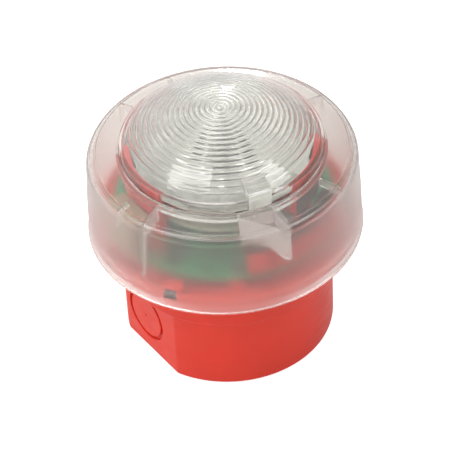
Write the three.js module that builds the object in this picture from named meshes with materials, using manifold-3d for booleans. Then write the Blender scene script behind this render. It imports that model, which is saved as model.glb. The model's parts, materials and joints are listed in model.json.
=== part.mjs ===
// Open-area horn strobe: a deep red back box with a twist-lock sounder head, covered by a
// clear drum and a Fresnel dome. Units are millimetres, +Z points away from the wall face,
// and the origin is the centre of the wall face. The two conduit flats face -X and +X.

import * as THREE from 'three';
import { mergeVertices } from 'three/addons/utils/BufferGeometryUtils.js';
import Module from 'manifold-3d';

const wasm = await Module();
wasm.setup();

// ---------------------------------------------------------------- driving dimensions

const ROUND_SEGMENTS = 48; // facets round the large turned parts
const SMALL_SEGMENTS = 16; // facets round screws, pins and small discs
const FIT_GAP = 0.35; // clearance between pieces that touch in use
const OVERLAP = 0.4; // how far joined features run into each other
const SEAT_GAP = 0.3; // gap left under pieces that sit on a board or under a screw head
const PAST = 1; // how far a cutting shape runs past the faces it opens

const BOX = {
  radius: 44.0,
  bandRadius: 44.6,
  bandFoot: 34.6,
  height: 50.0,
  wall: 2.7,
  floor: 3.2,
  edge: 1.5,
  flatDistance: 40.4,
  flatTop: 33.6,
};
const KNOCKOUT = { y: 3.4, height: 18.8, discRadius: 10.25, grooveRadius: 11.8, depth: 1.2, pipRadius: 0.7 };
const CABLE_ENTRY = { y: -14.0, radius: 10.0 };
const FIXING_SLOT = { spacing: 50.8, width: 4.6, length: 9.0 };
const LOCK = { lugs: [90, 210, 330], halfAngle: 9, lugInner: 38.6, tabOuter: 40.9, tabGap: 0.4 };
const LUG_Z = { low: 43.0, high: 46.0, stopLow: 38.8 };
const SKIRT = { outer: 38.2, thickness: 2, low: 38.9 };
const GASKET = { inner: 42.0, outer: 44.2, low: 50.3, high: 52.5 };

const PLATE = { low: 53.0, high: 55.5, radius: 53.6, rimHeight: 3, rimThickness: 1.8 };
const PLATE_BEAD = { inner: 48.0, outer: 49.0, height: 0.8 };
const PLATE_CUT = { low: 50, high: 58, slotWidth: 2.2, windowTop: 60 };
const DRUM = {
  rimRadius: 56.8,
  foot: 52.0,
  lipHeight: 1.6,
  wallFoot: 56.4,
  wallTop: 54.95,
  shoulderStart: 86.3,
  shoulderRadius: 4.5,
  annulusInner: 41.3,
  annulusRise: 1.8,
  wall: 2.2,
};
const WEB = { outer: 53.8, thickness: 1.0, toe: 1.4, heel: 3.0 };
const GATE = { low: 73.5, heel: 79.0, heelEnd: 11.5, toeStart: 17.5 };
const SNAP = { angles: [-150, -30, 90], halfAngle: 2.6, inner: 51.9, outer: 54.8, low: 56.2, high: 57.8 };
const DOME = {
  radius: 41.0,
  lipRadius: 42.4,
  lipLow: 87.9,
  lipHigh: 89.5,
  stepTop: 96.5,
  apex: 113.0,
  wall: 2.2,
};
const DOME_TAB = { angle: -105.3, width: 9.8 };
const CARRIER = { inner: 37.0, outer: 40.2, low: 76.0, high: 87.6, ledgeInner: 30.0, ledge: 1.8 };
// The front window cuts through the whole ledge. The back one leaves a narrow rib of it.
const CARRIER_WINDOWS = [
  { middle: -123, halfAngle: 43, from: 29.0 },
  { middle: 57, halfAngle: 24, from: 32.5 },
];
const CARRIER_SCREENS = [{ middle: 170, halfAngle: 25 }, { middle: -56, halfAngle: 24 }];
const SCREEN = { inner: 37.2, outer: 38.6, top: 94.0 };
const CARRIER_LEGS = { angles: [10, 100, 190], halfAngle: 6 };
const REFLECTOR = {
  rim: 36.6,
  rimHeight: 88.2,
  middle: 20,
  middleHeight: 82.2,
  hole: 6.9,
  holeHeight: 80,
  skin: 0.9,
};
const MAIN_BOARD = { radius: 46.0, low: 62.0, thickness: 1.6 };
const STROBE_BOARD = { radius: 33.0, low: 73.6, thickness: 1.6 };
const BOARD_POST = { circle: 42.0, angles: [60, 150, 240], radius: 3.4, hole: 1.25 };
const BOARD_SCREW = { head: 2.7, headHeight: 1.8, shank: 0.95, clearance: 1.4, length: 7.0, slot: 0.7 };

const CONTACT = { radius: 30.0, angles: [45, 135, 225, 315], thickness: 1.0, halfAngle: 4.6 };
const CLIP = { leaf: 0.5, gap: 0.4, foot: 16.0, top: 30.0, halfAngle: 5.5, pillarWidth: 4.8 };
const BLADE = { low: 24.0, high: 61.7 };

const TERMINAL = { ways: 4, pitch: 8.0, y: 12.5, width: 34.0, depth: 13.0, low: 3.5, high: 16.0 };
const TERMINAL_EAR = { reach: 5.5, depth: 5.6, low: 8.4, high: 10.4, hole: 1.4, screwFromEnd: 3 };
const TERMINAL_POST = { radius: 2.6, top: 8.0, hole: 1.2, holeFoot: 4.2 };
const EAR_SCREW = { shank: 0.9, head: 2.3, low: 5.0, headLow: 10.7, headHigh: 12.3, slot: 0.7 };
const CAVITY = { width: 6.4, depth: 9.2, low: 4.7, high: 12.6 };
const CAGE = { width: 5.6, depth: 6.4, low: 5.0, high: 11.4, fromFront: 4.4 };
const CAGE_WINDOW = { width: 3.6, low: 5.9, high: 9.2 };
const SLOT_DEPTH = 0.8; // depth of every screwdriver slot
const CLAMP_SCREW = { shank: 1.5, head: 2.25, low: 9.7, headLow: 13.3, headHigh: 15.3, slot: 0.7 };

const DIP = { ways: 4, pitch: 2.54, x: -9.0, y: -12.0, width: 11.6, depth: 6.6, low: 57.8, high: 61.7 };
const LEVER = { width: 1.2, depth: 1.3, height: 1.2, travel: 1.0 };
const TRIMMER = { x: 10.0, y: -12.0, width: 7.0, low: 57.8, high: 61.7, rotor: 2.4, rotorHeight: 1.3 };

const STORAGE_CAPACITOR = { radius: 6.2, top: 73.0, x: -20, y: 14 };
const FILTER_CAPACITOR = { radius: 4.0, top: 72.0, x: 22, y: 12 };
const CONTROLLER_CHIP = { width: 10, depth: 10, height: 1.6, x: -18, y: -20 };
const DRIVER_CHIP = { width: 8, depth: 6, height: 1.8, x: -35, y: -16 };
const BOARD_LINK = { width: 12.7, depth: 2.5, y: 24 };
const TRIGGER_COIL = { width: 7, depth: 6, top: 78.6, y: -17 };
const FLASH_TUBE = { radius: 1.9, legX: 4.6, shoulder: 89 };
const TRANSFORMER = { x: -45.2, y: 2, width: 7.2, depth: 17.2, top: 81.5, flange: 2, lip: 1.0 };

const HORN = { angle: -80, distance: 28.0, cupRadius: 15.6, cupTop: 72.6, wall: 1.6, mouthInner: 41.0 };
const HORN_MOUTH = { outer: 46.6, angle: -82.8, halfAngle: 31.8, top: 75.8 };
const THROAT = { halfAngle: 22, low: 66.6, high: 73.8 };
const PIEZO = { low: 68.0, disc: 0.5, ceramic: 0.3, ceramicRadius: 9.5, ringWidth: 2.6, ringHeight: 2.8 };
const LOCK_SCREW = { radius: 1.45, hole: 1.8, tip: 45.0, end: 50.6, z: 49.6, slot: 0.6 };
const LOCK_BOSS = { half: 3.2, end: 50.2 };
const WEATHER_SKIRT = { inner: 46.2, outer: 47.8, low: 46.5 };

// ---------------------------------------------------------------- materials

function plastic(color, roughness = 0.45) {
  return new THREE.MeshStandardMaterial({ color, roughness, metalness: 0 });
}

function metal(color, roughness = 0.3) {
  return new THREE.MeshStandardMaterial({ color, roughness, metalness: 1 });
}

const RED = plastic(0xcc3a30);
const DEEP_RED = plastic(0xb02c26);
const CLEAR = new THREE.MeshStandardMaterial({
  color: 0xf2ede8,
  roughness: 0.12,
  transparent: true,
  opacity: 0.35,
});
const RUBBER = plastic(0x1c1c1e, 0.8);
const BOARD_GREEN = plastic(0x1f7a4c, 0.4);
const BOARD_OLIVE = plastic(0xa0ac92, 0.45);
const BLACK = plastic(0x18181a, 0.5);
const PALE_GREY = plastic(0xb8b4aa, 0.5);
const NATURAL_WHITE = plastic(0xe8e6de, 0.5);
const BLUE = plastic(0x1f4fa0, 0.4);
const CERAMIC = plastic(0xe6e0d2, 0.6);
const BRASS = metal(0xc9a24a);
const STEEL = metal(0xb9bcc0, 0.35);
const MIRROR = metal(0xe4e6e8, 0.12);

// ---------------------------------------------------------------- shape helpers

const radians = THREE.MathUtils.degToRad;

// Turns a closed geometry into a manifold solid whose faces point outwards.
function solid(geometry) {
  const bare = geometry.clone();
  bare.deleteAttribute('normal');
  bare.deleteAttribute('uv');
  const merged = mergeVertices(bare, 1e-4);
  const positions = merged.attributes.position.array;
  const triangles = [];
  let volume = 0;
  for (let i = 0; i < merged.index.count; i += 3) {
    const [a, b, c] = [merged.index.getX(i), merged.index.getX(i + 1), merged.index.getX(i + 2)];
    if (a === b || b === c || c === a) continue;
    triangles.push([a, b, c]);
    const [p, q, r] = [a, b, c].map((k) => new THREE.Vector3().fromArray(positions, 3 * k));
    volume += p.dot(q.cross(r));
  }
  const ordered = volume > 0 ? triangles : triangles.map(([a, b, c]) => [a, c, b]);
  const mesh = new wasm.Mesh({
    numProp: 3,
    vertProperties: new Float32Array(positions),
    triVerts: new Uint32Array(ordered.flat()),
  });
  return new wasm.Manifold(mesh);
}

function join(first, ...others) {
  return others.reduce((whole, piece) => whole.add(piece), first);
}

function cut(first, ...others) {
  return others.reduce((whole, piece) => whole.subtract(piece), first);
}

// A turned solid from [radius, z] points.
function turned(points, segments = ROUND_SEGMENTS) {
  const profile = points.map(([radius, z]) => new THREE.Vector2(radius, z));
  return solid(new THREE.LatheGeometry(profile, segments).rotateX(Math.PI / 2));
}

function ring(inner, outer, low, high, segments = ROUND_SEGMENTS) {
  return turned([[inner, low], [outer, low], [outer, high], [inner, high], [inner, low]], segments);
}

function disc(radius, low, high, x = 0, y = 0, segments = SMALL_SEGMENTS) {
  const geometry = new THREE.CylinderGeometry(radius, radius, high - low, segments);
  geometry.rotateX(Math.PI / 2);
  geometry.translate(x, y, (low + high) / 2);
  return solid(geometry);
}

function block(width, depth, low, high, x = 0, y = 0) {
  const geometry = new THREE.BoxGeometry(width, depth, high - low);
  geometry.translate(x, y, (low + high) / 2);
  return solid(geometry);
}

function extruded(shape, low, high, curveSegments = 8) {
  const options = { depth: high - low, bevelEnabled: false, curveSegments };
  return solid(new THREE.ExtrudeGeometry(shape, options).translate(0, 0, low));
}

// Part of a ring, centred on the angle `middle`, in degrees.
function sector(inner, outer, middle, halfAngle, low, high) {
  const [from, to] = [radians(middle - halfAngle), radians(middle + halfAngle)];
  const shape = new THREE.Shape();
  shape.absarc(0, 0, outer, from, to, false);
  shape.absarc(0, 0, inner, to, from, true);
  shape.closePath();
  return extruded(shape, low, high, Math.max(2, Math.ceil(halfAngle / 3)));
}

// A flat web standing in the plane through the axis at `angle`, from [radius, z] points.
function web(points, thickness, angle) {
  const shape = new THREE.Shape(points.map(([radius, z]) => new THREE.Vector2(radius, z)));
  const geometry = new THREE.ExtrudeGeometry(shape, { depth: thickness, bevelEnabled: false });
  geometry.translate(0, 0, -thickness / 2);
  geometry.rotateX(Math.PI / 2);
  geometry.rotateZ(radians(angle));
  return solid(geometry);
}

function moved(piece, x, y, z) {
  return piece.translate([x, y, z]);
}

function polar(radius, angle) {
  return [radius * Math.cos(radians(angle)), radius * Math.sin(radians(angle))];
}

function arcPoints(centreR, centreZ, radius, fromAngle, toAngle, steps) {
  return Array.from({ length: steps + 1 }, (_, i) => {
    const angle = radians(fromAngle + ((toAngle - fromAngle) * i) / steps);
    return [centreR + radius * Math.cos(angle), centreZ + radius * Math.sin(angle)];
  });
}

const assembly = new THREE.Group();

function addPart(name, piece, material) {
  const { vertProperties, triVerts } = piece.getMesh();
  const geometry = new THREE.BufferGeometry();
  geometry.setAttribute('position', new THREE.BufferAttribute(new Float32Array(vertProperties), 3));
  geometry.setIndex(new THREE.BufferAttribute(new Uint32Array(triVerts), 1));
  geometry.computeVertexNormals();
  const mesh = new THREE.Mesh(geometry, material);
  mesh.name = name;
  assembly.add(mesh);
}

// ---------------------------------------------------------------- back box

function slabBetweenFlats(halfWidth, low, high) {
  return block(2 * halfWidth, 4 * BOX.radius, low, high);
}

function boxOutside() {
  const { radius, bandRadius, bandFoot, height, edge, flatDistance, flatTop } = BOX;
  const bodyTop = bandFoot - 0.6;
  const body = turned([[0, 0], [radius - edge, 0], [radius, edge], [radius, bodyTop], [0, bodyTop]]);
  const flatted = body.intersect(join(
    slabBetweenFlats(flatDistance, -PAST, flatTop),
    slabBetweenFlats(2 * radius, flatTop - OVERLAP, height),
  ));
  const band = turned([
    [0, flatTop - OVERLAP],
    [radius, flatTop],
    [bandRadius, bandFoot],
    [bandRadius, height],
    [0, height],
  ]);
  return join(flatted, band);
}

function boxCavity() {
  const { radius, bandRadius, height, wall, floor, flatDistance, flatTop } = BOX;
  const ledgeTop = flatTop + wall;
  const mouthRadius = bandRadius - wall - 0.4;
  const lower = turned([[0, floor], [radius - wall, floor], [radius - wall, ledgeTop], [0, ledgeTop]]);
  const flatted = lower.intersect(slabBetweenFlats(flatDistance - wall, 0, height));
  const mouth = turned([
    [0, ledgeTop - OVERLAP],
    [mouthRadius, ledgeTop - OVERLAP],
    [mouthRadius, height + PAST],
    [0, height + PAST],
  ]);
  return join(flatted, mouth);
}

function knockoutGroove(side) {
  const { y, height, discRadius, grooveRadius, depth, pipRadius } = KNOCKOUT;
  const groove = ring(discRadius, grooveRadius, -depth, PAST, 32);
  const pip = disc(pipRadius, -0.4 * depth, PAST, 0, 0, 8);
  const cutter = join(groove, pip).rotate([0, side * 90, 0]);
  return moved(cutter, side * BOX.flatDistance, y, height);
}

function fixingSlot(x) {
  const { width, length } = FIXING_SLOT;
  const shape = new THREE.Shape();
  const half = (length - width) / 2;
  shape.absarc(0, half, width / 2, 0, Math.PI, false);
  shape.absarc(0, -half, width / 2, Math.PI, 2 * Math.PI, false);
  shape.closePath();
  return moved(extruded(shape, -PAST, BOX.floor + PAST, 6), x, 0, 0);
}

function lockingLug(angle) {
  const { halfAngle, lugInner } = LOCK;
  const outer = BOX.bandRadius - BOX.wall;
  const lug = sector(lugInner, outer, angle, halfAngle, LUG_Z.low, LUG_Z.high);
  const stop = sector(lugInner, outer, angle + halfAngle + 2.5, 1.5, LUG_Z.stopLow, LUG_Z.high);
  const bridge = sector(lugInner, outer, angle + halfAngle, 2, LUG_Z.low, LUG_Z.high);
  return join(lug, bridge, stop);
}

function contactPillar(angle) {
  const inner = CONTACT.radius - CLIP.pillarWidth / 2;
  const outer = CONTACT.radius + CLIP.pillarWidth / 2;
  return sector(inner, outer, angle, CLIP.halfAngle, BOX.floor - OVERLAP, CLIP.foot - FIT_GAP);
}

function earScrewX(side) {
  return side * (TERMINAL.width / 2 + TERMINAL_EAR.screwFromEnd);
}

function terminalPost(side) {
  const { radius, top, hole, holeFoot } = TERMINAL_POST;
  const post = disc(radius, BOX.floor - OVERLAP, top, earScrewX(side), TERMINAL.y);
  return cut(post, disc(hole, holeFoot, top + PAST, earScrewX(side), TERMINAL.y, 12));
}

function backBox() {
  const shell = cut(boxOutside(), boxCavity(), knockoutGroove(-1), knockoutGroove(1));
  const entry = disc(CABLE_ENTRY.radius, -PAST, BOX.floor + PAST, 0, CABLE_ENTRY.y, 32);
  const fixingSlots = [-1, 1].map((side) => fixingSlot((side * FIXING_SLOT.spacing) / 2));
  const drilled = cut(shell, entry, ...fixingSlots);
  return join(
    drilled,
    ...LOCK.lugs.map(lockingLug),
    ...CONTACT.angles.map(contactPillar),
    terminalPost(-1),
    terminalPost(1),
  );
}

// ---------------------------------------------------------------- base contacts

// A spring clip with two curved leaves, open along the path of the head's blade.
function baseContact(angle) {
  const { radius, thickness } = CONTACT;
  const { leaf, gap, foot, top, halfAngle } = CLIP;
  const inside = radius - thickness / 2 - gap;
  const outside = radius + thickness / 2 + gap;
  const innerLeaf = sector(inside - leaf, inside, angle, halfAngle, foot, top);
  const outerLeaf = sector(outside, outside + leaf, angle, halfAngle, foot, top);
  const bridge = sector(inside - leaf, outside + leaf, angle, halfAngle, foot, foot + leaf);
  return join(innerLeaf, outerLeaf, bridge);
}

function headContact(angle) {
  const { radius, thickness, halfAngle } = CONTACT;
  return sector(radius - thickness / 2, radius + thickness / 2, angle, halfAngle, BLADE.low, BLADE.high);
}

// ---------------------------------------------------------------- terminal block

function wayX(way) {
  return (way - (TERMINAL.ways - 1) / 2) * TERMINAL.pitch;
}

const terminalFront = TERMINAL.y - TERMINAL.depth / 2;
const cageY = terminalFront + CAGE.fromFront;

function terminalCavity(way) {
  const { width, depth, low, high } = CAVITY;
  const x = wayX(way);
  const { shank, head, headLow } = CLAMP_SCREW;
  const room = block(width, depth, low, high, x, terminalFront + depth / 2 - PAST);
  const shankHole = disc(shank + FIT_GAP, high - PAST, TERMINAL.high + PAST, x, cageY);
  const headHole = disc(head + FIT_GAP, headLow - SEAT_GAP, TERMINAL.high + PAST, x, cageY);
  return join(room, shankHole, headHole);
}

function terminalBlock() {
  const { ways, width, depth, low, high, y } = TERMINAL;
  const body = block(width, depth, low, high, 0, y);
  const ear = TERMINAL_EAR;
  const ears = block(width + 2 * ear.reach, ear.depth, ear.low, ear.high, 0, y);
  const earHoles = [-1, 1].map((side) =>
    disc(ear.hole, ear.low - OVERLAP, ear.high + 0.6, earScrewX(side), y, 12));
  const cavities = Array.from({ length: ways }, (_, way) => terminalCavity(way));
  return cut(join(body, ears), ...earHoles, ...cavities);
}

function terminalCage(way) {
  const { width, depth, low, high } = CAGE;
  const window = CAGE_WINDOW;
  const x = wayX(way);
  return cut(
    block(width, depth, low, high, x, cageY),
    block(window.width, depth + 2 * PAST, window.low, window.high, x, cageY),
    disc(CLAMP_SCREW.shank + FIT_GAP, window.low + PAST, high + PAST, x, cageY, 16),
  );
}

function slottedScrew({ shank, head, low, headLow, headHigh, slot }, x, y) {
  const body = join(disc(shank, low, headLow + OVERLAP, x, y), disc(head, headLow, headHigh, x, y));
  return cut(body, block(2 * (head + PAST), slot, headHigh - SLOT_DEPTH, headHigh + PAST, x, y));
}

function terminalScrew(way) {
  return slottedScrew(CLAMP_SCREW, wayX(way), cageY);
}

function terminalFixingScrew(side) {
  return slottedScrew(EAR_SCREW, earScrewX(side), TERMINAL.y);
}

// ---------------------------------------------------------------- head chassis

function lockingTab(angle) {
  const { tabOuter, halfAngle, tabGap } = LOCK;
  return sector(SKIRT.outer - OVERLAP, tabOuter, angle, halfAngle, SKIRT.low, LUG_Z.low - tabGap);
}

function lockScrewBoss() {
  const { half, end } = LOCK_BOSS;
  const depth = end - WEATHER_SKIRT.inner - OVERLAP;
  return block(2 * half, depth, LOCK_SCREW.z - half, PLATE.low + OVERLAP, 0, end - depth / 2);
}

function boardPost(angle) {
  const [x, y] = polar(BOARD_POST.circle, angle);
  return disc(BOARD_POST.radius, PLATE.high - OVERLAP, MAIN_BOARD.low - SEAT_GAP, x, y);
}

function boardPostHole(angle) {
  const [x, y] = polar(BOARD_POST.circle, angle);
  return disc(BOARD_POST.hole, PLATE.high + 0.5, MAIN_BOARD.low + PAST, x, y, 12);
}

// The plate with its rim and the low bead that guides the drum.
function chassisPlate() {
  const { low, high, radius, rimHeight, rimThickness } = PLATE;
  const beadTop = high + PLATE_BEAD.height;
  return turned([
    [0, low],
    [radius, low],
    [radius, high + rimHeight],
    [radius - rimThickness, high + rimHeight],
    [radius - rimThickness, high],
    [PLATE_BEAD.outer, high],
    [PLATE_BEAD.outer, beadTop],
    [PLATE_BEAD.inner, beadTop],
    [PLATE_BEAD.inner, high],
    [0, high],
  ]);
}

function bladeSlot(angle) {
  const { low, high, slotWidth } = PLATE_CUT;
  const inner = CONTACT.radius - slotWidth / 2;
  return sector(inner, inner + slotWidth, angle, CONTACT.halfAngle + 1.4, low, high);
}

function snapWindow(angle) {
  const [inner, outer] = [SNAP.inner - 0.6, PLATE.radius + PAST];
  return sector(inner, outer, angle, SNAP.halfAngle + 0.8, PLATE.high + 0.1, PLATE_CUT.windowTop);
}

function lockScrewHole() {
  const drill = disc(LOCK_SCREW.hole, -LOCK_BOSS.end - PAST, -WEATHER_SKIRT.inner + PAST);
  return moved(drill.rotate([90, 0, 0]), 0, 0, LOCK_SCREW.z);
}

function headChassis() {
  const joinHeight = PLATE.low + OVERLAP;
  const solidParts = join(
    chassisPlate(),
    ring(SKIRT.outer - SKIRT.thickness, SKIRT.outer, SKIRT.low, joinHeight),
    ring(WEATHER_SKIRT.inner, WEATHER_SKIRT.outer, WEATHER_SKIRT.low, joinHeight),
    lockScrewBoss(),
    ...LOCK.lugs.map(lockingTab),
    ...BOARD_POST.angles.map(boardPost),
  );
  const { low, high } = PLATE_CUT;
  return cut(
    solidParts,
    ...CONTACT.angles.map(bladeSlot),
    ...SNAP.angles.map(snapWindow),
    ...BOARD_POST.angles.map(boardPostHole),
    block(DIP.width + 3, DIP.depth + 3, low, high, DIP.x, DIP.y),
    disc(TRIMMER.rotor + 1.4, low, high, TRIMMER.x, TRIMMER.y),
    lockScrewHole(),
  );
}

function lockingScrew() {
  const { radius, tip, end, z, slot } = LOCK_SCREW;
  const body = disc(radius, -end, -tip);
  const groove = block(slot, 2 * (radius + PAST), -end - PAST, -end + SLOT_DEPTH);
  return moved(cut(body, groove).rotate([90, 0, 0]), 0, 0, z);
}

// ---------------------------------------------------------------- boards and their parts

const onBoard = MAIN_BOARD.low + MAIN_BOARD.thickness + SEAT_GAP;
const onStrobeBoard = STROBE_BOARD.low + STROBE_BOARD.thickness + SEAT_GAP;

function mainBoard() {
  const { radius, low, thickness } = MAIN_BOARD;
  const holes = BOARD_POST.angles.map((angle) => {
    const [x, y] = polar(BOARD_POST.circle, angle);
    return disc(BOARD_SCREW.clearance, low - PAST, low + thickness + PAST, x, y, 12);
  });
  return cut(disc(radius, low, low + thickness, 0, 0, 48), ...holes);
}

function boardScrew(angle) {
  const [x, y] = polar(BOARD_POST.circle, angle);
  const { shank, head, headHeight, length, slot } = BOARD_SCREW;
  const heights = { low: onBoard - length, headLow: onBoard, headHigh: onBoard + headHeight };
  return slottedScrew({ shank, head, slot, ...heights }, x, y);
}

function strobeBoard() {
  const { radius, low, thickness } = STROBE_BOARD;
  return disc(radius, low, low + thickness, 0, 0, 48);
}

function dipLever(way) {
  const x = DIP.x + (way - (DIP.ways - 1) / 2) * DIP.pitch;
  const { width, depth, height, travel } = LEVER;
  return block(width, depth, DIP.low - height, DIP.low + 0.8, x, DIP.y - travel / 2);
}

function dipSwitch() {
  const body = block(DIP.width, DIP.depth, DIP.low, DIP.high, DIP.x, DIP.y);
  const grooves = Array.from({ length: DIP.ways }, (_, way) => {
    const x = DIP.x + (way - (DIP.ways - 1) / 2) * DIP.pitch;
    const room = LEVER.depth + LEVER.travel + 2 * FIT_GAP;
    return block(LEVER.width + 2 * FIT_GAP, room, DIP.low - 1, DIP.low + 1.3, x, DIP.y);
  });
  return cut(body, ...grooves);
}

function volumeTrimmer() {
  const { x, y, width, low, high, rotor } = TRIMMER;
  return cut(block(width, width, low, high, x, y), disc(rotor + FIT_GAP, low - 1, low + 1.3, x, y));
}

function volumeRotor() {
  const { x, y, low, rotor, rotorHeight } = TRIMMER;
  const body = disc(rotor, low - rotorHeight + 0.8, low + 0.9, x, y);
  const slot = block(2 * rotor - 1.2, 0.7, low - rotorHeight, low - rotorHeight + 1.5, x, y);
  return cut(body, slot);
}

// The strobe's transformer: a wound bobbin between two flanges, outside the reflector carrier.
function transformer() {
  const { x, y, width, depth, top, flange, lip } = TRANSFORMER;
  const bobbin = block(width, depth, onBoard, top, x, y);
  const foot = block(width + lip, depth + lip, onBoard, onBoard + flange, x, y);
  const head = block(width + lip, depth + lip, top - flange, top, x, y);
  return join(bobbin, foot, head);
}

function standingCapacitor({ radius, top, x, y }) {
  return turned([
    [0, onBoard],
    [radius, onBoard],
    [radius, onBoard + 1],
    [radius - 0.4, onBoard + 1.5],
    [radius, onBoard + 2],
    [radius, top - 0.6],
    [radius - 0.6, top],
    [0, top],
  ], 24).translate([x, y, 0]);
}

function boardLink() {
  return block(BOARD_LINK.width, BOARD_LINK.depth, onBoard, STROBE_BOARD.low - SEAT_GAP, 0, BOARD_LINK.y);
}

function chip({ width, depth, height, x, y }) {
  return block(width, depth, onBoard, onBoard + height, x, y);
}

// ---------------------------------------------------------------- sounder

const [hornX, hornY] = polar(HORN.distance, HORN.angle);

function sounderHorn() {
  const { cupRadius, cupTop, wall, mouthInner } = HORN;
  const { outer, angle, halfAngle, top } = HORN_MOUTH;
  const cup = disc(cupRadius, onBoard, cupTop, hornX, hornY, 32);
  const cupRoom = disc(cupRadius - wall, onBoard + wall, cupTop + 10, hornX, hornY, 32);
  const mouth = sector(mouthInner, outer, angle, halfAngle, onBoard, top);
  const throat = sector(mouthInner + wall, outer + 1, angle, THROAT.halfAngle, THROAT.low, THROAT.high);
  return cut(join(cup, mouth), cupRoom, throat);
}

const piezoOuter = HORN.cupRadius - HORN.wall - FIT_GAP;
const onPiezo = PIEZO.low + PIEZO.disc + SEAT_GAP;

function piezoDisc() {
  return disc(piezoOuter, PIEZO.low, PIEZO.low + PIEZO.disc, hornX, hornY, 32);
}

function piezoCeramic() {
  return disc(PIEZO.ceramicRadius, onPiezo, onPiezo + PIEZO.ceramic, hornX, hornY, 24);
}

function piezoRing() {
  const rim = ring(piezoOuter - PIEZO.ringWidth, piezoOuter, onPiezo, onPiezo + PIEZO.ringHeight, 32);
  return moved(rim, hornX, hornY, 0);
}

// ---------------------------------------------------------------- strobe optics

function reflectorCarrier() {
  const { inner, outer, low, high, ledgeInner, ledge } = CARRIER;
  const wall = turned([
    [ledgeInner, low],
    [outer, low],
    [outer, high],
    [inner, high],
    [inner, low + ledge],
    [ledgeInner, low + ledge],
    [ledgeInner, low],
  ]);
  const windows = CARRIER_WINDOWS.map(({ middle, halfAngle, from }) =>
    sector(from, outer + PAST, middle, halfAngle, low - PAST, high + PAST));
  const screens = CARRIER_SCREENS.map(({ middle, halfAngle }) =>
    sector(SCREEN.inner, SCREEN.outer, middle, halfAngle, high - OVERLAP, SCREEN.top));
  const legs = CARRIER_LEGS.angles.map((angle) =>
    sector(inner, outer, angle, CARRIER_LEGS.halfAngle, onBoard, low + OVERLAP));
  return join(cut(wall, ...windows), ...legs, ...screens);
}

function reflector() {
  const { rim, rimHeight, middle, middleHeight, hole, holeHeight, skin } = REFLECTOR;
  return turned([
    [hole, holeHeight - skin],
    [middle, middleHeight - skin],
    [rim, rimHeight - skin],
    [rim, rimHeight],
    [middle, middleHeight],
    [hole, holeHeight],
    [hole, holeHeight - skin],
  ], 48);
}

function flashTube() {
  const { radius, legX, shoulder } = FLASH_TUBE;
  const path = new THREE.CurvePath();
  const bend = new THREE.CatmullRomCurve3(Array.from({ length: 9 }, (_, i) => {
    const angle = Math.PI - (Math.PI * i) / 8;
    return new THREE.Vector3(legX * Math.cos(angle), 0, shoulder + legX * Math.sin(angle));
  }));
  const point = (x, z) => new THREE.Vector3(x, 0, z);
  path.add(new THREE.LineCurve3(point(-legX, onStrobeBoard), point(-legX, shoulder)));
  path.add(bend);
  path.add(new THREE.LineCurve3(point(legX, shoulder), point(legX, onStrobeBoard)));
  const section = new THREE.Shape().absarc(0, 0, radius, 0, 2 * Math.PI, false);
  return solid(new THREE.ExtrudeGeometry(section, { extrudePath: path, steps: 16, curveSegments: 8 }));
}

function triggerCoil() {
  return block(TRIGGER_COIL.width, TRIGGER_COIL.depth, onStrobeBoard, TRIGGER_COIL.top, 0, TRIGGER_COIL.y);
}

// ---------------------------------------------------------------- clear drum and dome

const shoulderCentre = [DRUM.wallTop - DRUM.shoulderRadius, DRUM.shoulderStart];

function drumWall() {
  const { rimRadius, foot, lipHeight, wallFoot, wallTop, wall } = DRUM;
  const { shoulderRadius, annulusInner, annulusRise } = DRUM;
  const [centreR, centreZ] = shoulderCentre;
  const outerArc = arcPoints(centreR, centreZ, shoulderRadius, 0, 80, 5);
  const innerArc = arcPoints(centreR, centreZ, shoulderRadius - wall, 80, 0, 4);
  const annulusTop = centreZ + shoulderRadius + annulusRise;
  return turned([
    [wallFoot - wall, foot],
    [rimRadius, foot],
    [rimRadius, foot + lipHeight],
    [wallFoot, foot + lipHeight + 0.6],
    [(wallFoot + wallTop) / 2 + 0.25, (foot + centreZ) / 2],
    ...outerArc,
    [annulusInner, annulusTop],
    [annulusInner, annulusTop - wall],
    ...innerArc,
    [(wallFoot + wallTop) / 2 + 0.25 - wall, (foot + centreZ) / 2],
    [wallFoot - wall, foot],
  ]);
}

// The space that the drum's shell closes, out to the middle of the shell.
function insideDrum() {
  const { foot, annulusInner, annulusRise, wall, shoulderStart, shoulderRadius } = DRUM;
  const [centreR, centreZ] = shoulderCentre;
  const middle = wall / 2;
  return turned([
    [0, foot],
    [WEB.outer, foot],
    [WEB.outer, shoulderStart],
    ...arcPoints(centreR, centreZ, shoulderRadius - middle, 10, 80, 4),
    [annulusInner + middle, centreZ + shoulderRadius + annulusRise - middle],
    [0, centreZ + shoulderRadius + annulusRise - middle],
  ]);
}

// Stiffening webs in the corner under the annulus: [angle, inner radius, inner foot, foot at the wall].
const WEBS = [
  [2, 44.4, 86.9, 79.4],
  [78.5, 49.0, 87.9, 84.4],
  [106.7, 46.0, 86.9, 79.4],
  [183, 47.5, 87.4, 81.4],
  [197.5, 42.9, 83.4, 63.4],
  [295.4, 43.4, 86.4, 77.4],
];

function stiffeningWeb([angle, inner, innerFoot, wallFoot]) {
  const top = DOME.stepTop;
  return web([
    [inner, top],
    [inner, innerFoot],
    [WEB.outer - WEB.heel, innerFoot - 1],
    [WEB.outer - WEB.toe, wallFoot],
    [WEB.outer, wallFoot],
    [WEB.outer, top],
  ], WEB.thickness, angle);
}

// The gate block's outline seen from above, as [radius, angle]. Its front face runs between the first two.
const GATE_PLAN = [[43.0, -117.8], [53.8, -98.8], [53.8, -96.9], [43.1, -99.0], [42.4, -110.0]];

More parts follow.
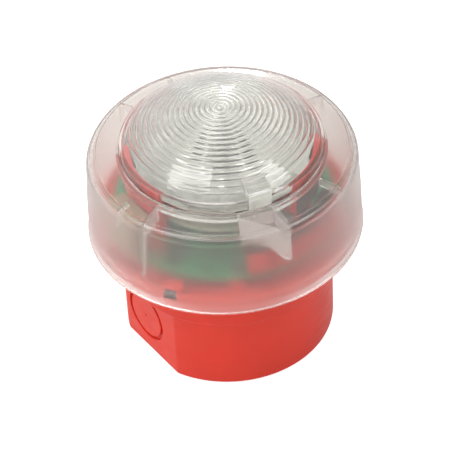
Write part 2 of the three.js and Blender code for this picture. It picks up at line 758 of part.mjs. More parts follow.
// The moulding gate: a block under the annulus whose front face slants from the dome to the wall.
function gateBlock() {
  const plan = GATE_PLAN.map(([radius, angle]) => new THREE.Vector2(...polar(radius, angle)));
  const [start, end] = plan;
  const along = THREE.MathUtils.radToDeg(end.clone().sub(start).angle());
  const whole = extruded(new THREE.Shape(plan), GATE.low, DOME.stepTop);
  const underCut = web([
    [-20, GATE.heel],
    [GATE.heelEnd, GATE.heel + 0.5],
    [GATE.toeStart, GATE.low],
    [GATE.toeStart, GATE.low - 1],
    [-20, GATE.low - 1],
  ], 40, along);
  return cut(whole, moved(underCut, start.x, start.y, 0));
}

function snapHook(angle) {
  return sector(SNAP.inner, SNAP.outer, angle, SNAP.halfAngle, SNAP.low, SNAP.high);
}

function drumCover() {
  const underShell = join(...WEBS.map(stiffeningWeb), gateBlock()).intersect(insideDrum());
  return join(drumWall(), underShell, ...SNAP.angles.map(snapHook));
}

function domeArc(baseRadius, baseZ, apexZ, steps) {
  const rise = apexZ - baseZ;
  const sphere = (baseRadius ** 2 + rise ** 2) / (2 * rise);
  const spread = THREE.MathUtils.radToDeg(Math.asin(baseRadius / sphere));
  return arcPoints(0, apexZ - sphere, sphere, 90 - spread, 90, steps);
}

// The dome's own moulding tab, which fills the corner between the lens and the front of its step.
function domeTab() {
  return web([
    [39.6, 93.0],
    [41.8, 93.0],
    [41.8, 101.6],
    [41.2, 102.2],
    [34.5, 102.6],
    [34.5, 101.2],
    [37.0, 98.6],
    [39.6, 95.6],
  ], DOME_TAB.width, DOME_TAB.angle);
}

function fresnelDome() {
  const { radius, lipRadius, lipLow, lipHigh, stepTop, apex, wall } = DOME;
  const outer = domeArc(radius, stepTop, apex, 6);
  const inner = domeArc(radius - wall, stepTop - 0.6, apex - wall, 5).reverse();
  const shell = turned([
    ...inner,
    [radius - wall, lipLow],
    [lipRadius, lipLow],
    [lipRadius, lipHigh],
    [radius, lipHigh],
    ...outer,
  ].map(([r, z]) => [Math.abs(r) < 1e-6 ? 0 : r, z]));
  return join(shell, domeTab());
}

// ---------------------------------------------------------------- assembly

addPart('back_box', backBox(), RED);
addPart('box_gasket', ring(GASKET.inner, GASKET.outer, GASKET.low, GASKET.high), RUBBER);
addPart('terminal_block', terminalBlock(), PALE_GREY);
for (const side of [-1, 1]) {
  addPart(`terminal_fixing_screw_${side < 0 ? 'left' : 'right'}`, terminalFixingScrew(side), STEEL);
}
for (let way = 0; way < TERMINAL.ways; way += 1) {
  addPart(`terminal_cage_${way + 1}`, terminalCage(way), BRASS);
  addPart(`terminal_screw_${way + 1}`, terminalScrew(way), STEEL);
}
CONTACT.angles.forEach((angle, i) => {
  addPart(`base_contact_${i + 1}`, baseContact(angle), BRASS);
  addPart(`head_contact_${i + 1}`, headContact(angle), BRASS);
});

addPart('head_chassis', headChassis(), RED);
addPart('locking_screw', lockingScrew(), STEEL);
addPart('main_board', mainBoard(), BOARD_GREEN);
BOARD_POST.angles.forEach((angle, i) => addPart(`board_screw_${i + 1}`, boardScrew(angle), STEEL));
addPart('dip_switch', dipSwitch(), BLUE);
for (let way = 0; way < DIP.ways; way += 1) {
  addPart(`dip_lever_${way + 1}`, dipLever(way), NATURAL_WHITE);
}
addPart('volume_trimmer', volumeTrimmer(), BLUE);
addPart('volume_rotor', volumeRotor(), NATURAL_WHITE);
addPart('transformer', transformer(), PALE_GREY);
addPart('storage_capacitor', standingCapacitor(STORAGE_CAPACITOR), BLACK);
addPart('filter_capacitor', standingCapacitor(FILTER_CAPACITOR), BLACK);
addPart('controller_chip', chip(CONTROLLER_CHIP), BLACK);
addPart('driver_chip', chip(DRIVER_CHIP), BLACK);
addPart('board_link', boardLink(), BLACK);

addPart('sounder_horn', sounderHorn(), DEEP_RED);
addPart('piezo_disc', piezoDisc(), BRASS);
addPart('piezo_ceramic', piezoCeramic(), CERAMIC);
addPart('piezo_ring', piezoRing(), BLACK);

addPart('reflector_carrier', reflectorCarrier(), DEEP_RED);
addPart('strobe_board', strobeBoard(), BOARD_OLIVE);
addPart('reflector', reflector(), MIRROR);
addPart('flash_tube', flashTube(), CLEAR);
addPart('trigger_coil', triggerCoil(), BLACK);

addPart('drum_cover', drumCover(), CLEAR);
addPart('fresnel_dome', fresnelDome(), CLEAR);

export default assembly;
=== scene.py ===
"""Open-area horn strobe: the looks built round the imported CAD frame.

Lengths are millimetres in the CAD frame, where +Z points away from the wall face, and make_piece
turns them into metres. Only the light, the floor and the camera are given in metres.
"""

import json
import math
import random

import bmesh
import bpy
import numpy as np
from mathutils import Matrix, Vector


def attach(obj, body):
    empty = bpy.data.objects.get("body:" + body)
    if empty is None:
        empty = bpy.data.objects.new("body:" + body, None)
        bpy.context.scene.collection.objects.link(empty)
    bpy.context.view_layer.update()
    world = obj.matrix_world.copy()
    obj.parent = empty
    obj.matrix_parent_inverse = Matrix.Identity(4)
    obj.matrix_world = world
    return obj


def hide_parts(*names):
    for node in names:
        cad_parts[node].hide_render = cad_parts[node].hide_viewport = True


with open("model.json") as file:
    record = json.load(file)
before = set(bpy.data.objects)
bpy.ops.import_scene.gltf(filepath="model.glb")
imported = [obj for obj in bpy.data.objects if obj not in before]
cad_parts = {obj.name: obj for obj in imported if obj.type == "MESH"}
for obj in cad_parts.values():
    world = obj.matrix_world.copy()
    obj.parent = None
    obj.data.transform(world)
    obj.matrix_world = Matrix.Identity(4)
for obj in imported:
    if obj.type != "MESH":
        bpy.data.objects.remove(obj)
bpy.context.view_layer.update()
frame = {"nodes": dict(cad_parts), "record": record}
MM = 0.001

# ---- driving dimensions

ROUND = 240  # points round the large turned mouldings
BOX_ROUND = 720  # points round the back box, close enough for its crisp flat corners
SMALL_ROUND = 48  # points round small turned pieces
OVERLAP = 0.4  # how far joined features run into each other
SEAT_GAP = 0.3  # gap under pieces that sit on a board, and over posts that carry one

BOX_RADIUS = 44.0
BOX_BAND_RADIUS = 44.6
BOX_BAND_FOOT = 34.6
BOX_HEIGHT = 50.0
BOX_WALL = 2.7
BOX_FLOOR = 3.2
BOX_EDGE = 1.5
FLAT_DISTANCE = 40.4
FLAT_TOP = 33.6
FLAT_CORNER = 0.125  # softness of the corner between a flat and the round wall

KNOCKOUT_Y = 3.4
KNOCKOUT_HEIGHT = 18.8
KNOCKOUT_DISC = 10.25
KNOCKOUT_GROOVE = 11.8
KNOCKOUT_DEPTH = 1.2
KNOCKOUT_PIP = 0.7
ENTRY_Y = -14.0
ENTRY_RADIUS = 10.0
SLOT_X = 25.4
SLOT_WIDTH = 4.6
SLOT_LENGTH = 9.0
LUG_ANGLES = (90.0, 210.0, 330.0)
LUG_INNER = 38.6
LUG_HALF = 9.0
LUG_LOW, LUG_HIGH = 43.0, 46.0
STOP_HALF = 2.0
STOP_LOW = 38.8
CONTACT_ANGLES = (45.0, 135.0, 225.0, 315.0)
CONTACT_RADIUS = 30.0
PILLAR_WIDTH = 4.8
PILLAR_HALF = 5.5
PILLAR_TOP = 15.65
TERMINAL_POSTS = ((-20.0, 12.5), (20.0, 12.5))
TERMINAL_POST = (2.6, 8.0)  # radius, top
TERMINAL_HOLE = (1.2, 4.2)  # radius, foot

SKIRT_INNER, SKIRT_OUTER = 36.2, 38.2
SKIRT_LOW = 38.9
LOCK_TAB_OUTER = 40.9
WEATHER_INNER, WEATHER_OUTER = 46.2, 47.8
WEATHER_LOW = 46.5
PLATE_LOW, PLATE_HIGH = 53.0, 55.5
PLATE_RADIUS = 53.6
PLATE_RIM = 3.0
PLATE_BEAD = (47.8, 49.2, 0.8)  # inner radius, outer radius, height
PLATE_CUT = (50.0, 58.0)  # the heights between which openings in the plate are cut
RIB_ANGLES = [angle for angle in range(0, 360, 30) if angle != 90]  # the boss stands at 90
RIB_LOW = 49.0
POST_CIRCLE = 42.0
POST_ANGLES = (60.0, 150.0, 240.0)
POST_RADII = (3.4, 3.1, 1.25)  # foot, tip, hole
SWITCH_PLACE = (-9.0, -12.0)
VOLUME_PLACE = (10.0, -12.0)
VOLUME_HOLE = 3.8
LOCK_HEIGHT = 49.6
LOCK_HOLE = 1.8

DRUM_RIM = 56.8
DRUM_FOOT = 52.0
DRUM_LIP = 1.6
DRUM_WALL_FOOT = 56.4
DRUM_WALL_TOP = 54.95
SHOULDER_START = 86.3
SHOULDER_RADIUS = 4.5
SHOULDER_CENTRE = DRUM_WALL_TOP - SHOULDER_RADIUS
ANNULUS_INNER = 41.3
ANNULUS_RISE = 1.8
DRUM_WALL = 2.2
TOP_BEAD = 51.2
BEAD_WIDTH = 0.7
BEAD_HEIGHT = 0.22
SHOULDER_BEAD = 50.0  # where the shoulder's bead is, in degrees up the shoulder
POLISHED_FROM = 89.3  # the drum's outside is polished above this height
POLISHED_UNDER_TOP = (51.0, 88.0)  # its inside within this radius and above this height
PARTING_ANGLE = -105.3

DOME_RADIUS = 41.0
DOME_LIP_RADIUS = 42.4
DOME_LIP_LOW, DOME_LIP_HIGH = 87.9, 89.5
DOME_STEP_TOP = 96.5
DOME_APEX = 113.0
DOME_WALL = 2.2
RING_PITCH = 2.05
RING_DEPTH = 0.58
OUTER_WAVE = 0.07  # how deep the rings show on the lens's outer face
RING_STEPS = (0.0, 0.06, 0.2, 0.4, 0.6, 0.8, 0.94)
TAB_ANGLE = -105.3
TAB_WIDTH = 9.8

# The gate block's outline from above, as (radius, angle). Its front face joins the first two.
GATE_PLAN = [(43.0, -117.8), (53.8, -98.8), (53.8, -96.9), (43.1, -99.0), (42.4, -110.0)]
GATE_LOW = 73.5
GATE_HEEL = 79.0
GATE_HEEL_END = 11.5
GATE_TOE_START = 17.5
WEBS = [
    # angle, inner radius, inner foot, foot at the wall
    (2.0, 44.4, 86.9, 79.4),
    (78.5, 49.0, 87.9, 84.4),
    (106.7, 46.0, 86.9, 79.4),
    (183.0, 47.5, 87.4, 81.4),
    (197.5, 42.9, 83.4, 63.4),
    (295.4, 43.4, 86.4, 77.4),
]
WEB_THICKNESS = 1.0
WEB_OUTER = 53.8
WEB_HEEL = 3.0
WEB_TOE = 1.4
SNAP_ANGLES = (-150.0, -30.0, 90.0)
SNAP_HALF = 2.6
SNAP_INNER = 51.9
SNAP_LOW, SNAP_HIGH = 56.2, 57.8
POCKET_INNER = 48.7
POCKET_HALF = 2.7
POCKET_LOW, POCKET_HIGH = 55.8, 60.2

REFLECTOR_RIM = 36.6
REFLECTOR_RIM_Z = 88.2
REFLECTOR_HOLE = 6.9
REFLECTOR_HOLE_Z = 80.0
REFLECTOR_MIDDLE = 20.0
REFLECTOR_MIDDLE_Z = 82.2
REFLECTOR_OUTER = 28.0
REFLECTOR_OUTER_Z = 84.6
REFLECTOR_SKIN = 0.9
REFLECTOR_FOLDS = 8
REFLECTOR_FOLD_DEPTH = 2.4
REFLECTOR_TURN = -124.5
REFLECTOR_CREASE = 4.0  # folds sharper than this many degrees stay crisp
TUBE_SLOTS = [(-11.0, 5.0), (-4.0, 6.0), (4.2, 6.6), (11.2, 5.0)]  # middle, width
TUBE_SLOT_LINE = 5.0  # how far the row of slots lies from the axis
TUBE_SLOT_LENGTH = 10.0
TUBE_TURN = -34.5

CARRIER_INNER, CARRIER_OUTER = 37.0, 40.2
CARRIER_LOW, CARRIER_HIGH = 76.0, 87.6
LEDGE_INNER = 30.0
LEDGE_HIGH = 77.8
CARRIER_LEGS = (10.0, 100.0, 190.0)
CARRIER_WINDOWS = [(29.0, -123.0, 43.0), (32.5, 57.0, 24.0)]  # inner radius, middle, half
CARRIER_SCREENS = [(170.0, 25.0), (-56.0, 24.0)]  # middle, half angle
SCREEN_INNER, SCREEN_OUTER = 37.2, 38.6
SCREEN_TOP = 94.0
PAINTED_SHADE_SIDE = (-84.0, -30.0)  # the angles between which the carrier's outer side is painted dark as shade

HORN_PLACE = (28.0, -80.0)  # radius and angle of the cup's axis
CUP_RADIUS = 15.6
CUP_TOP = 72.6
HORN_WALL = 1.6
MOUTH_ANGLE = -82.8
MOUTH_HALF = 31.8
MOUTH_INNER, MOUTH_OUTER = 41.0, 46.6
MOUTH_TOP = 75.8
THROAT_HALF = 22.0
THROAT_LOW, THROAT_HIGH = 66.6, 73.8

BOARD_RADIUS = 46.0
BOARD_LOW = 62.0
BOARD_THICKNESS = 1.6
ON_BOARD = BOARD_LOW + BOARD_THICKNESS + SEAT_GAP
TRANSFORMER = (-45.2, 2.0)
TRANSFORMER_TOP = 81.5
TRANSFORMER_FLANGE = (8.2, 18.2, 2.0)  # width, depth, thickness
TRANSFORMER_COIL = (6.8, 16.6)

# What stands on the main board or passes through it, as (x, y, reach).
STANDING = [(-20, 14, 8), (22, 12, 6), (-18, -20, 9), (-35, -16, 7), (0, 24, 9)]
STANDING += [(4.9, -27.6, 18), (*TRANSFORMER, 11)]
CHIP_PITCH = 5.0
CHIP_SIZE = (1.3, 2.4)
CHIP_HEIGHTS = (0.5, 0.7, 1.0)

# Light and camera, in metres, degrees and watts.
WORLD_DIM = 0.46
WORLD_BRIGHT = 1.32
BRIGHT_SIDE = (-0.64, 0.48, 0.60)
BOUNCES = 24
LAMP_AIM = (0.0, 0.0, 0.08)
LAMPS = [
    # name, place, spin about the way it faces, width, height, power
    ("left_window", (-0.68, 0.10, 1.37), 45, 0.86, 0.38, 4.8),
    ("right_window", (0.54, -0.66, 1.05), 0, 0.42, 0.38, 2.0),
    ("back_window", (0.779, 1.011, 0.500), 0, 0.11, 0.07, 0.5),
]
FLOOR_GLOW = 0.7

CAMERA_AZIMUTH = -34.5
CAMERA_ELEVATION = 42.6
CAMERA_DISTANCE = 0.9146
CAMERA_LENS = 175.86
CAMERA_ROLL = 3.07
CAMERA_AIM = Vector((0.0, 0.0, 0.0481))

# The sockets for colour on Blender's Mix node.
MIX_SHARE, MIX_FIRST, MIX_SECOND, MIX_RESULT = 0, 6, 7, 2

# The drum's material slots.
WALL_FINISH, GATE_FINISH, WEB_FINISH, POLISHED_FINISH = range(4)

# ---- mesh helpers


def polar(radius, angle):
    """The x and y of a point from its radius and its angle in degrees."""
    return radius * math.cos(math.radians(angle)), radius * math.sin(math.radians(angle))


def apart(first, second):
    """How far apart two angles are, in degrees."""
    return abs((first - second + 180) % 360 - 180)


def face_place(face):
    """A face's middle as its radius, its angle in degrees and its height."""
    x, y, z = (value / MM for value in face.center)
    return math.hypot(x, y), math.degrees(math.atan2(y, x)), z


def crisp(piece, sharp_angle=35.0):
    """Shades a piece smooth but for the edges that are sharper than the angle."""
    piece.data.shade_smooth()
    piece.data.set_sharp_from_angle(angle=math.radians(sharp_angle))
    return piece


def make_piece(name, vertices, faces, sharp_angle=35.0):
    """A mesh object from points in millimetres, with its faces turned outwards."""
    mesh = bpy.data.meshes.new(name)
    mesh.from_pydata([(x * MM, y * MM, z * MM) for x, y, z in vertices], [], faces)
    piece = bpy.data.objects.new(name, mesh)
    bpy.context.scene.collection.objects.link(piece)
    work = bmesh.new()
    work.from_mesh(mesh)
    bmesh.ops.recalc_face_normals(work, faces=work.faces)
    work.to_mesh(mesh)
    work.free()
    return crisp(piece, sharp_angle)


def skin(name, rows, closed=False, sharp_angle=35.0):
    """A surface through rings of points, where a row of one point is a pole.

    When it is closed, the last row joins the first.
    """
    vertices = []
    starts = []
    for row in rows:
        starts.append((len(vertices), len(row)))
        vertices.extend(row)
    pairs = list(zip(starts, starts[1:]))
    if closed:
        pairs.append((starts[-1], starts[0]))
    faces = []
    for (first, first_count), (second, second_count) in pairs:
        count = max(first_count, second_count)
        for i in range(count):
            j = (i + 1) % count
            corners = [
                first + i % first_count,
                first + j % first_count,
                second + j % second_count,
                second + i % second_count,
            ]
            faces.append(list(dict.fromkeys(corners)))
    return make_piece(name, vertices, faces, sharp_angle)


def ring_row(radius, z, count, centre=(0.0, 0.0)):
    """A level ring of points, or one point when it has no radius."""
    if radius < 1e-6:
        return [(centre[0], centre[1], z)]
    turns = [2 * math.pi * i / count for i in range(count)]
    return [(centre[0] + radius * math.cos(t), centre[1] + radius * math.sin(t), z) for t in turns]


def turned(name, profile, count=SMALL_ROUND, centre=(0.0, 0.0), sharp_angle=35.0):
    """A turned solid from (radius, z) points that end on the axis, or that form a loop off it."""
    closed = profile[0][0] > 1e-6
    rows = [ring_row(radius, z, count, centre) for radius, z in profile]
    return skin(name, rows, closed, sharp_angle)


def cylinder(name, radius, low, high, count=24, centre=(0.0, 0.0)):
    return turned(name, [(0, low), (radius, low), (radius, high), (0, high)], count, centre)


def arc(centre_r, centre_z, radius, start, end, steps):
    """Points along an arc, from a start angle to an end angle in degrees."""
    angles = [math.radians(start + (end - start) * i / steps) for i in range(steps + 1)]
    return [(centre_r + radius * math.cos(a), centre_z + radius * math.sin(a)) for a in angles]


def slab(name, first, second):
    """A solid between two flat outlines with the same number of points."""
    count = len(first)
    faces = [list(range(count))[::-1], list(range(count, 2 * count))]
    for i in range(count):
        j = (i + 1) % count
        faces.append([i, j, count + j, count + i])
    return make_piece(name, first + second, faces)


def prism(name, outline, low, high):
    return slab(name, [(x, y, low) for x, y in outline], [(x, y, high) for x, y in outline])


def block(name, width, depth, low, high, centre=(0.0, 0.0), edge=0.0):
    """A box whose corners are rounded when an edge width is given."""
    x, y = centre
    outline = [
        (x - width / 2, y - depth / 2), (x + width / 2, y - depth / 2),
        (x + width / 2, y + depth / 2), (x - width / 2, y + depth / 2),
    ]
    piece = prism(name, outline, low, high)
    if edge > 0:
        round_edges(piece, edge)
    return piece


def sector_outline(inner, outer, middle, half_angle, step=1.5):
    """Part of a ring seen from above, with a point every few degrees."""
    count = max(2, math.ceil(2 * half_angle / step))
    angles = [middle - half_angle + 2 * half_angle * i / count for i in range(count + 1)]
    return [polar(outer, angle) for angle in angles] + [polar(inner, angle) for angle in reversed(angles)]


def sector(name, inner, outer, middle, half_angle, low, high):
    return prism(name, sector_outline(inner, outer, middle, half_angle), low, high)


def standing_plate(name, outline, thickness, angle):
    """A flat plate in the plane through the axis at an angle, from (radius, z) points."""
    cosine, sine = polar(1.0, angle)
    sides = []
    for offset in (-thickness / 2, thickness / 2):
        sides.append([(r * cosine - offset * sine, r * sine + offset * cosine, z) for r, z in outline])
    return slab(name, *sides)


def turn_mesh(piece, angle, axis="Z"):
    piece.data.transform(Matrix.Rotation(math.radians(angle), 4, axis))
    return piece


def shift_mesh(piece, x, y, z):
    piece.data.transform(Matrix.Translation(Vector((x, y, z)) * MM))
    return piece


def settle(piece):
    """Puts the piece's modifiers into its mesh."""
    graph = bpy.context.evaluated_depsgraph_get()
    made = bpy.data.meshes.new_from_object(piece.evaluated_get(graph))
    piece.modifiers.clear()
    old = piece.data
    piece.data = made
    bpy.data.meshes.remove(old)
    return crisp(piece)


def combine(piece, others, operation):
    """Joins or cuts the piece with the others, which are used up."""
    for other in others:
        step = piece.modifiers.new(operation.lower(), "BOOLEAN")
        step.operation = operation
        step.solver = "MANIFOLD"
        step.object = other
    settle(piece)
    for other in others:
        bpy.data.objects.remove(other)
    return piece


def weld(piece, *others):
    return combine(piece, others, "UNION")


def carve(piece, *others):
    return combine(piece, others, "DIFFERENCE")


def round_edges(piece, width, segments=3):
    """Rounds the piece's sharp edges to a width in millimetres."""
    step = piece.modifiers.new("rounded", "BEVEL")
    step.width = width * MM
    step.segments = segments
    step.limit_method = "ANGLE"
    step.angle_limit = math.radians(40)
    step.use_clamp_overlap = True
    return settle(piece)


def merge_pieces(name, pieces):
    """Loose solids of one physical piece, kept as one object."""
    target = pieces[0]
    work = bmesh.new()
    for piece in pieces:
        work.from_mesh(piece.data)
    work.to_mesh(target.data)
    work.free()
    for piece in pieces[1:]:
        bpy.data.objects.remove(piece)
    target.name = name
    target.data.name = name
    return crisp(target)


# ---- material helpers


def linear(red, green, blue):
    """A colour given as it looks on screen, 0 to 255, as the linear values that shaders use."""
    shares = [value / 255 for value in (red, green, blue)]
    spread = [s / 12.92 if s <= 0.04045 else ((s + 0.055) / 1.055) ** 2.4 for s in shares]
    return (*spread, 1.0)


def scaled_colour(colour, amount):
    """A lighter or darker colour, kept below pure white."""
    return (*[min(1.0, c * amount) for c in colour[:3]], 1.0)


class Paint:
    """The node tree of a material or world, and short ways to add nodes to it."""

    def __init__(self, owner, output="Material"):
        owner.use_nodes = True
        self.owner = owner
        self.tree = owner.node_tree
        self.tree.nodes.clear()
        self.output = self.node("Output" + output)
        self.coordinates = self.node("TexCoord").outputs

    def node(self, kind, values=None, **settings):
        """Adds a node. Each value is a socket to link, or what the node's own socket is set to."""
        made = self.tree.nodes.new("ShaderNode" + kind)
        for key, setting in settings.items():
            setattr(made, key, setting)
        for key, value in (values or {}).items():
            if isinstance(value, bpy.types.NodeSocket):
                self.tree.links.new(value, made.inputs[key])
            else:
                made.inputs[key].default_value = value
        return made

    def noise(self, scale, detail=3.0, roughness=0.5, stretch=None):
        place = self.coordinates["Object"]
        if stretch is not None:
            place = self.node("Mapping", {"Vector": place, "Scale": stretch}).outputs["Vector"]
        values = {"Vector": place, "Scale": scale, "Detail": detail, "Roughness": roughness}
        return self.node("TexNoise", values).outputs["Fac"]

    def ramp(self, source, low, high, from_low=0.3, from_high=0.7, **settings):
        ends = {"From Min": from_low, "From Max": from_high, "To Min": low, "To Max": high}
        return self.node("MapRange", {"Value": source, **ends}, **settings).outputs["Result"]

    def mix(self, share, first, second):
        values = {MIX_SHARE: share, MIX_FIRST: first, MIX_SECOND: second}
        return self.node("Mix", values, data_type="RGBA").outputs[MIX_RESULT]

    def blend(self, share, first, second):
        return self.node("MixShader", {0: share, 1: first, 2: second}).outputs["Shader"]

    def bump(self, height, distance, strength, under=None):
        """A bump of a height in millimetres, on top of another one if that is given."""
        values = {"Height": height, "Distance": distance * MM, "Strength": strength}
        if under is not None:
            values["Normal"] = under
        return self.node("Bump", values).outputs["Normal"]

    def principled(self, **values):
        named = {key.replace("_", " "): value for key, value in values.items()}
        return self.node("BsdfPrincipled", named).outputs["BSDF"]

    def finish(self, shader):
        self.tree.links.new(shader, self.output.inputs["Surface"])
        return self.owner


def new_paint(name):
    return Paint(bpy.data.materials.new(name))


def worn_edges(paint):
    """Near 1 on worn convex edges and 0 elsewhere."""
    geometry = paint.node("NewGeometry")
    return paint.ramp(geometry.outputs["Pointiness"], 0.0, 1.0, 0.52, 0.60)


def moulded(name, colour, roughness, grain=0.02, variation=0.07, wear=0.25, specular=0.5):
    """Moulded plastic: slow colour drift, fine specks, a spark-eroded grain and paler worn edges."""
    paint = new_paint(name)
    drift = paint.ramp(paint.noise(55, 2), 0.0, 1.0)
    base = paint.mix(drift, scaled_colour(colour, 1 - variation), scaled_colour(colour, 1 + variation))
    specks = paint.ramp(paint.noise(2400, 2), 0.0, 0.06, 0.62, 0.80)
    specked = paint.mix(specks, base, scaled_colour(colour, 1.6))
    edges = paint.node("Math", {0: worn_edges(paint), 1: wear}, operation="MULTIPLY")
    smears = paint.noise(120, 4, 0.6, (1.0, 1.0, 3.0))
    wavy = paint.bump(paint.noise(160, 2), 0.05, 0.35)
    shader = paint.principled(
        Base_Color=paint.mix(edges.outputs["Value"], specked, scaled_colour(colour, 1.9)),
        Roughness=paint.ramp(smears, roughness - 0.06, roughness + 0.08),
        Normal=paint.bump(paint.noise(2600, 3), grain, 0.6, wavy),
        Specular_IOR_Level=specular,
    )
    return paint.finish(shader)


def metal(name, colour, roughness, marks=(1.0, 1.0, 18.0), tarnish=0.18):
    """Bare metal: drawing marks, dull patches and bright rubbed edges."""
    paint = new_paint(name)
    patches = paint.noise(240, 4)
    dulled = paint.mix(paint.ramp(patches, 0.0, 1.0), scaled_colour(colour, 1 - tarnish), colour)
    shader = paint.principled(
        Metallic=1.0,
        Base_Color=paint.mix(worn_edges(paint), dulled, scaled_colour(colour, 1.2)),
        Roughness=paint.ramp(patches, roughness - 0.07, roughness + 0.12),
        Normal=paint.bump(paint.noise(900, 2, 0.5, marks), 0.01, 0.5),
    )
    return paint.finish(shader)


def clear_plastic(name, tint, roughness, haze, haze_colour, shadow_tint, grain=0.003, ripple=0.03):
    """Clear polycarbonate: a refracting body with a share of milky haze.

    Lamp light passes straight through it, tinted, so that the pieces behind it are lit.
    """
    paint = new_paint(name)
    drift = paint.noise(70, 3)
    ripples = paint.bump(paint.noise(110, 2), ripple, 0.3)
    glass = paint.principled(
        Base_Color=tint,
        IOR=1.585,
        Transmission_Weight=1.0,
        Roughness=paint.ramp(drift, roughness - 0.01, roughness + 0.02),
        Normal=paint.bump(paint.noise(620, 2), grain, 0.3, ripples),
    )
    cloudy = paint.mix(paint.ramp(drift, 0.0, 1.0), scaled_colour(haze_colour, 0.94), haze_colour)
    milk = paint.node("BsdfTranslucent", {"Color": cloudy}).outputs["BSDF"]
    chalk = paint.node("BsdfDiffuse", {"Color": cloudy}).outputs["BSDF"]
    share = paint.ramp(paint.noise(45, 3), haze * 0.8, haze * 1.2)
    body = paint.blend(share, glass, paint.blend(0.5, milk, chalk))
    through = paint.node("BsdfTransparent", {"Color": shadow_tint}).outputs["BSDF"]
    shadow_ray = paint.node("LightPath").outputs["Is Shadow Ray"]
    return paint.finish(paint.blend(shadow_ray, body, through))


def painted_axis_shade(paint, shade_reach, colour, drawn):
    """The drawn colour, darkened within a distance in millimetres of the axis as painted shade."""
    flat = {0: paint.coordinates["Object"], 1: (1.0, 1.0, 0.0)}
    across = paint.node("VectorMath", flat, operation="MULTIPLY").outputs["Vector"]
    away = paint.node("VectorMath", {0: across}, operation="LENGTH").outputs["Value"]
    unshaded = paint.ramp(away, 0.0, 1.0, shade_reach * MM * 0.7, shade_reach * MM)
    return paint.mix(unshaded, scaled_colour(colour, 0.10), drawn)


def circuit_board(name, colour, track_colour, shade_reach=0.0):
    """Solder mask over copper tracks. The last argument is how far, in mm, from the axis its middle is
    darkened as painted shade.
    """
    paint = new_paint(name)
    pattern = {"Vector": paint.coordinates["Object"], "Scale": 120, "Mortar Size": 0.08}
    black_and_white = {"Color1": (0, 0, 0, 1), "Color2": (0, 0, 0, 1), "Mortar": (1, 1, 1, 1)}
    tracks = paint.node("TexBrick", {**pattern, **black_and_white}).outputs["Color"]
    patches = paint.ramp(paint.noise(90, 3), 0.0, 1.0)
    masked = paint.mix(patches, scaled_colour(colour, 0.85), scaled_colour(colour, 1.1))
    drawn = paint.mix(tracks, masked, track_colour)
    shader = paint.principled(
        Base_Color=painted_axis_shade(paint, shade_reach, colour, drawn) if shade_reach > 0 else drawn,
        Roughness=paint.ramp(paint.noise(300, 3), 0.28, 0.42),
        Normal=paint.bump(paint.noise(1800, 2), 0.01, 0.5, paint.bump(tracks, 0.04, 0.8)),
    )
    return paint.finish(shader)


# ---- materials

RED_BODY = moulded("red_abs", linear(212, 52, 34), 0.34, variation=0.05, wear=0.30, specular=0.30)
RED_INNER = moulded("red_inner_abs", linear(238, 60, 42), 0.38)
DEEP_RED = moulded("deep_red_abs", linear(212, 36, 28), 0.36, specular=0.3)
CARRIER_RED = moulded("carrier_red_abs", linear(196, 24, 16), 0.36, specular=0.3)
# A dark brown put on the horn's top and the carrier's side as painted shade.
PAINTED_SHADE_COVER = moulded(
    "painted_shade_dark_cover", linear(62, 36, 30), 0.85, grain=0.05, variation=0.15, wear=0.1, specular=0.2
)
# The inside of the snap housings, painted a dark red as shade.
POCKET_PAINTED_SHADE = moulded("pocket_painted_shade_red", linear(66, 20, 18), 0.60, specular=0.2)
BLACK = moulded("black_moulding", linear(26, 26, 28), 0.40, variation=0.12)
TAPE = moulded("winding_tape_wrap", linear(150, 136, 108), 0.50, grain=0.04, variation=0.08)
RUBBER = moulded(
    "gasket_rubber", linear(30, 30, 32), 0.72, grain=0.05, variation=0.15, wear=0.4, specular=0.3
)
MIRROR_MARKS = (1.0, 1.0, 4.0)
# A paler copy of the mirror for two facets, as a painted highlight.
PAINTED_HIGHLIGHT_MIRROR = metal("reflector_painted_highlight_facets", linear(244, 244, 238), 0.12, MIRROR_MARKS, 0.03)
MIRROR = metal("reflector_mirror", linear(196, 197, 190), 0.12, MIRROR_MARKS, 0.03)
# The board's middle, near the axis, is darkened as painted shade.
OLIVE_BOARD = circuit_board("olive_board_mask", linear(160, 172, 146), linear(178, 188, 164), shade_reach=24.0)
TUBE_GLASS = clear_plastic(
    "tube_glass_envelope",
    tint=(1, 1, 1, 1),
    roughness=0.02,
    haze=0.03,
    haze_colour=(0.9, 0.9, 0.9, 1),
    shadow_tint=(0.96, 0.96, 0.96, 1),
    grain=0.01,
    ripple=0.05,
)
FROSTED_WALL = clear_plastic(
    "clear_drum_moulding",
    tint=(0.985, 0.95, 0.93, 1),
    roughness=0.29,
    haze=0.045,
    haze_colour=(0.94, 0.84, 0.80, 1),
    shadow_tint=(0.94, 0.90, 0.88, 1),
    grain=0.004,
    ripple=0.04,
)
POLISHED_TOP = clear_plastic(
    "clear_drum_top",
    tint=(0.97, 0.95, 0.93, 1),
    roughness=0.15,
    haze=0.05,
    haze_colour=(0.90, 0.84, 0.80, 1),
    shadow_tint=(0.50, 0.48, 0.47, 1),
)
CLEAR_WEB = clear_plastic(
    "clear_web_faces",
    tint=(0.98, 0.96, 0.95, 1),
    roughness=0.10,
    haze=0.20,
    haze_colour=(0.96, 0.92, 0.90, 1),
    shadow_tint=(0.80, 0.78, 0.77, 1),
)
CLEAR_GATE = clear_plastic(
    "frosted_gate_faces",
    tint=(0.97, 0.95, 0.94, 1),
    roughness=0.34,
    haze=0.38,
    haze_colour=(0.92, 0.88, 0.86, 1),
    shadow_tint=(0.80, 0.77, 0.76, 1),
    grain=0.006,
    ripple=0.05,
)
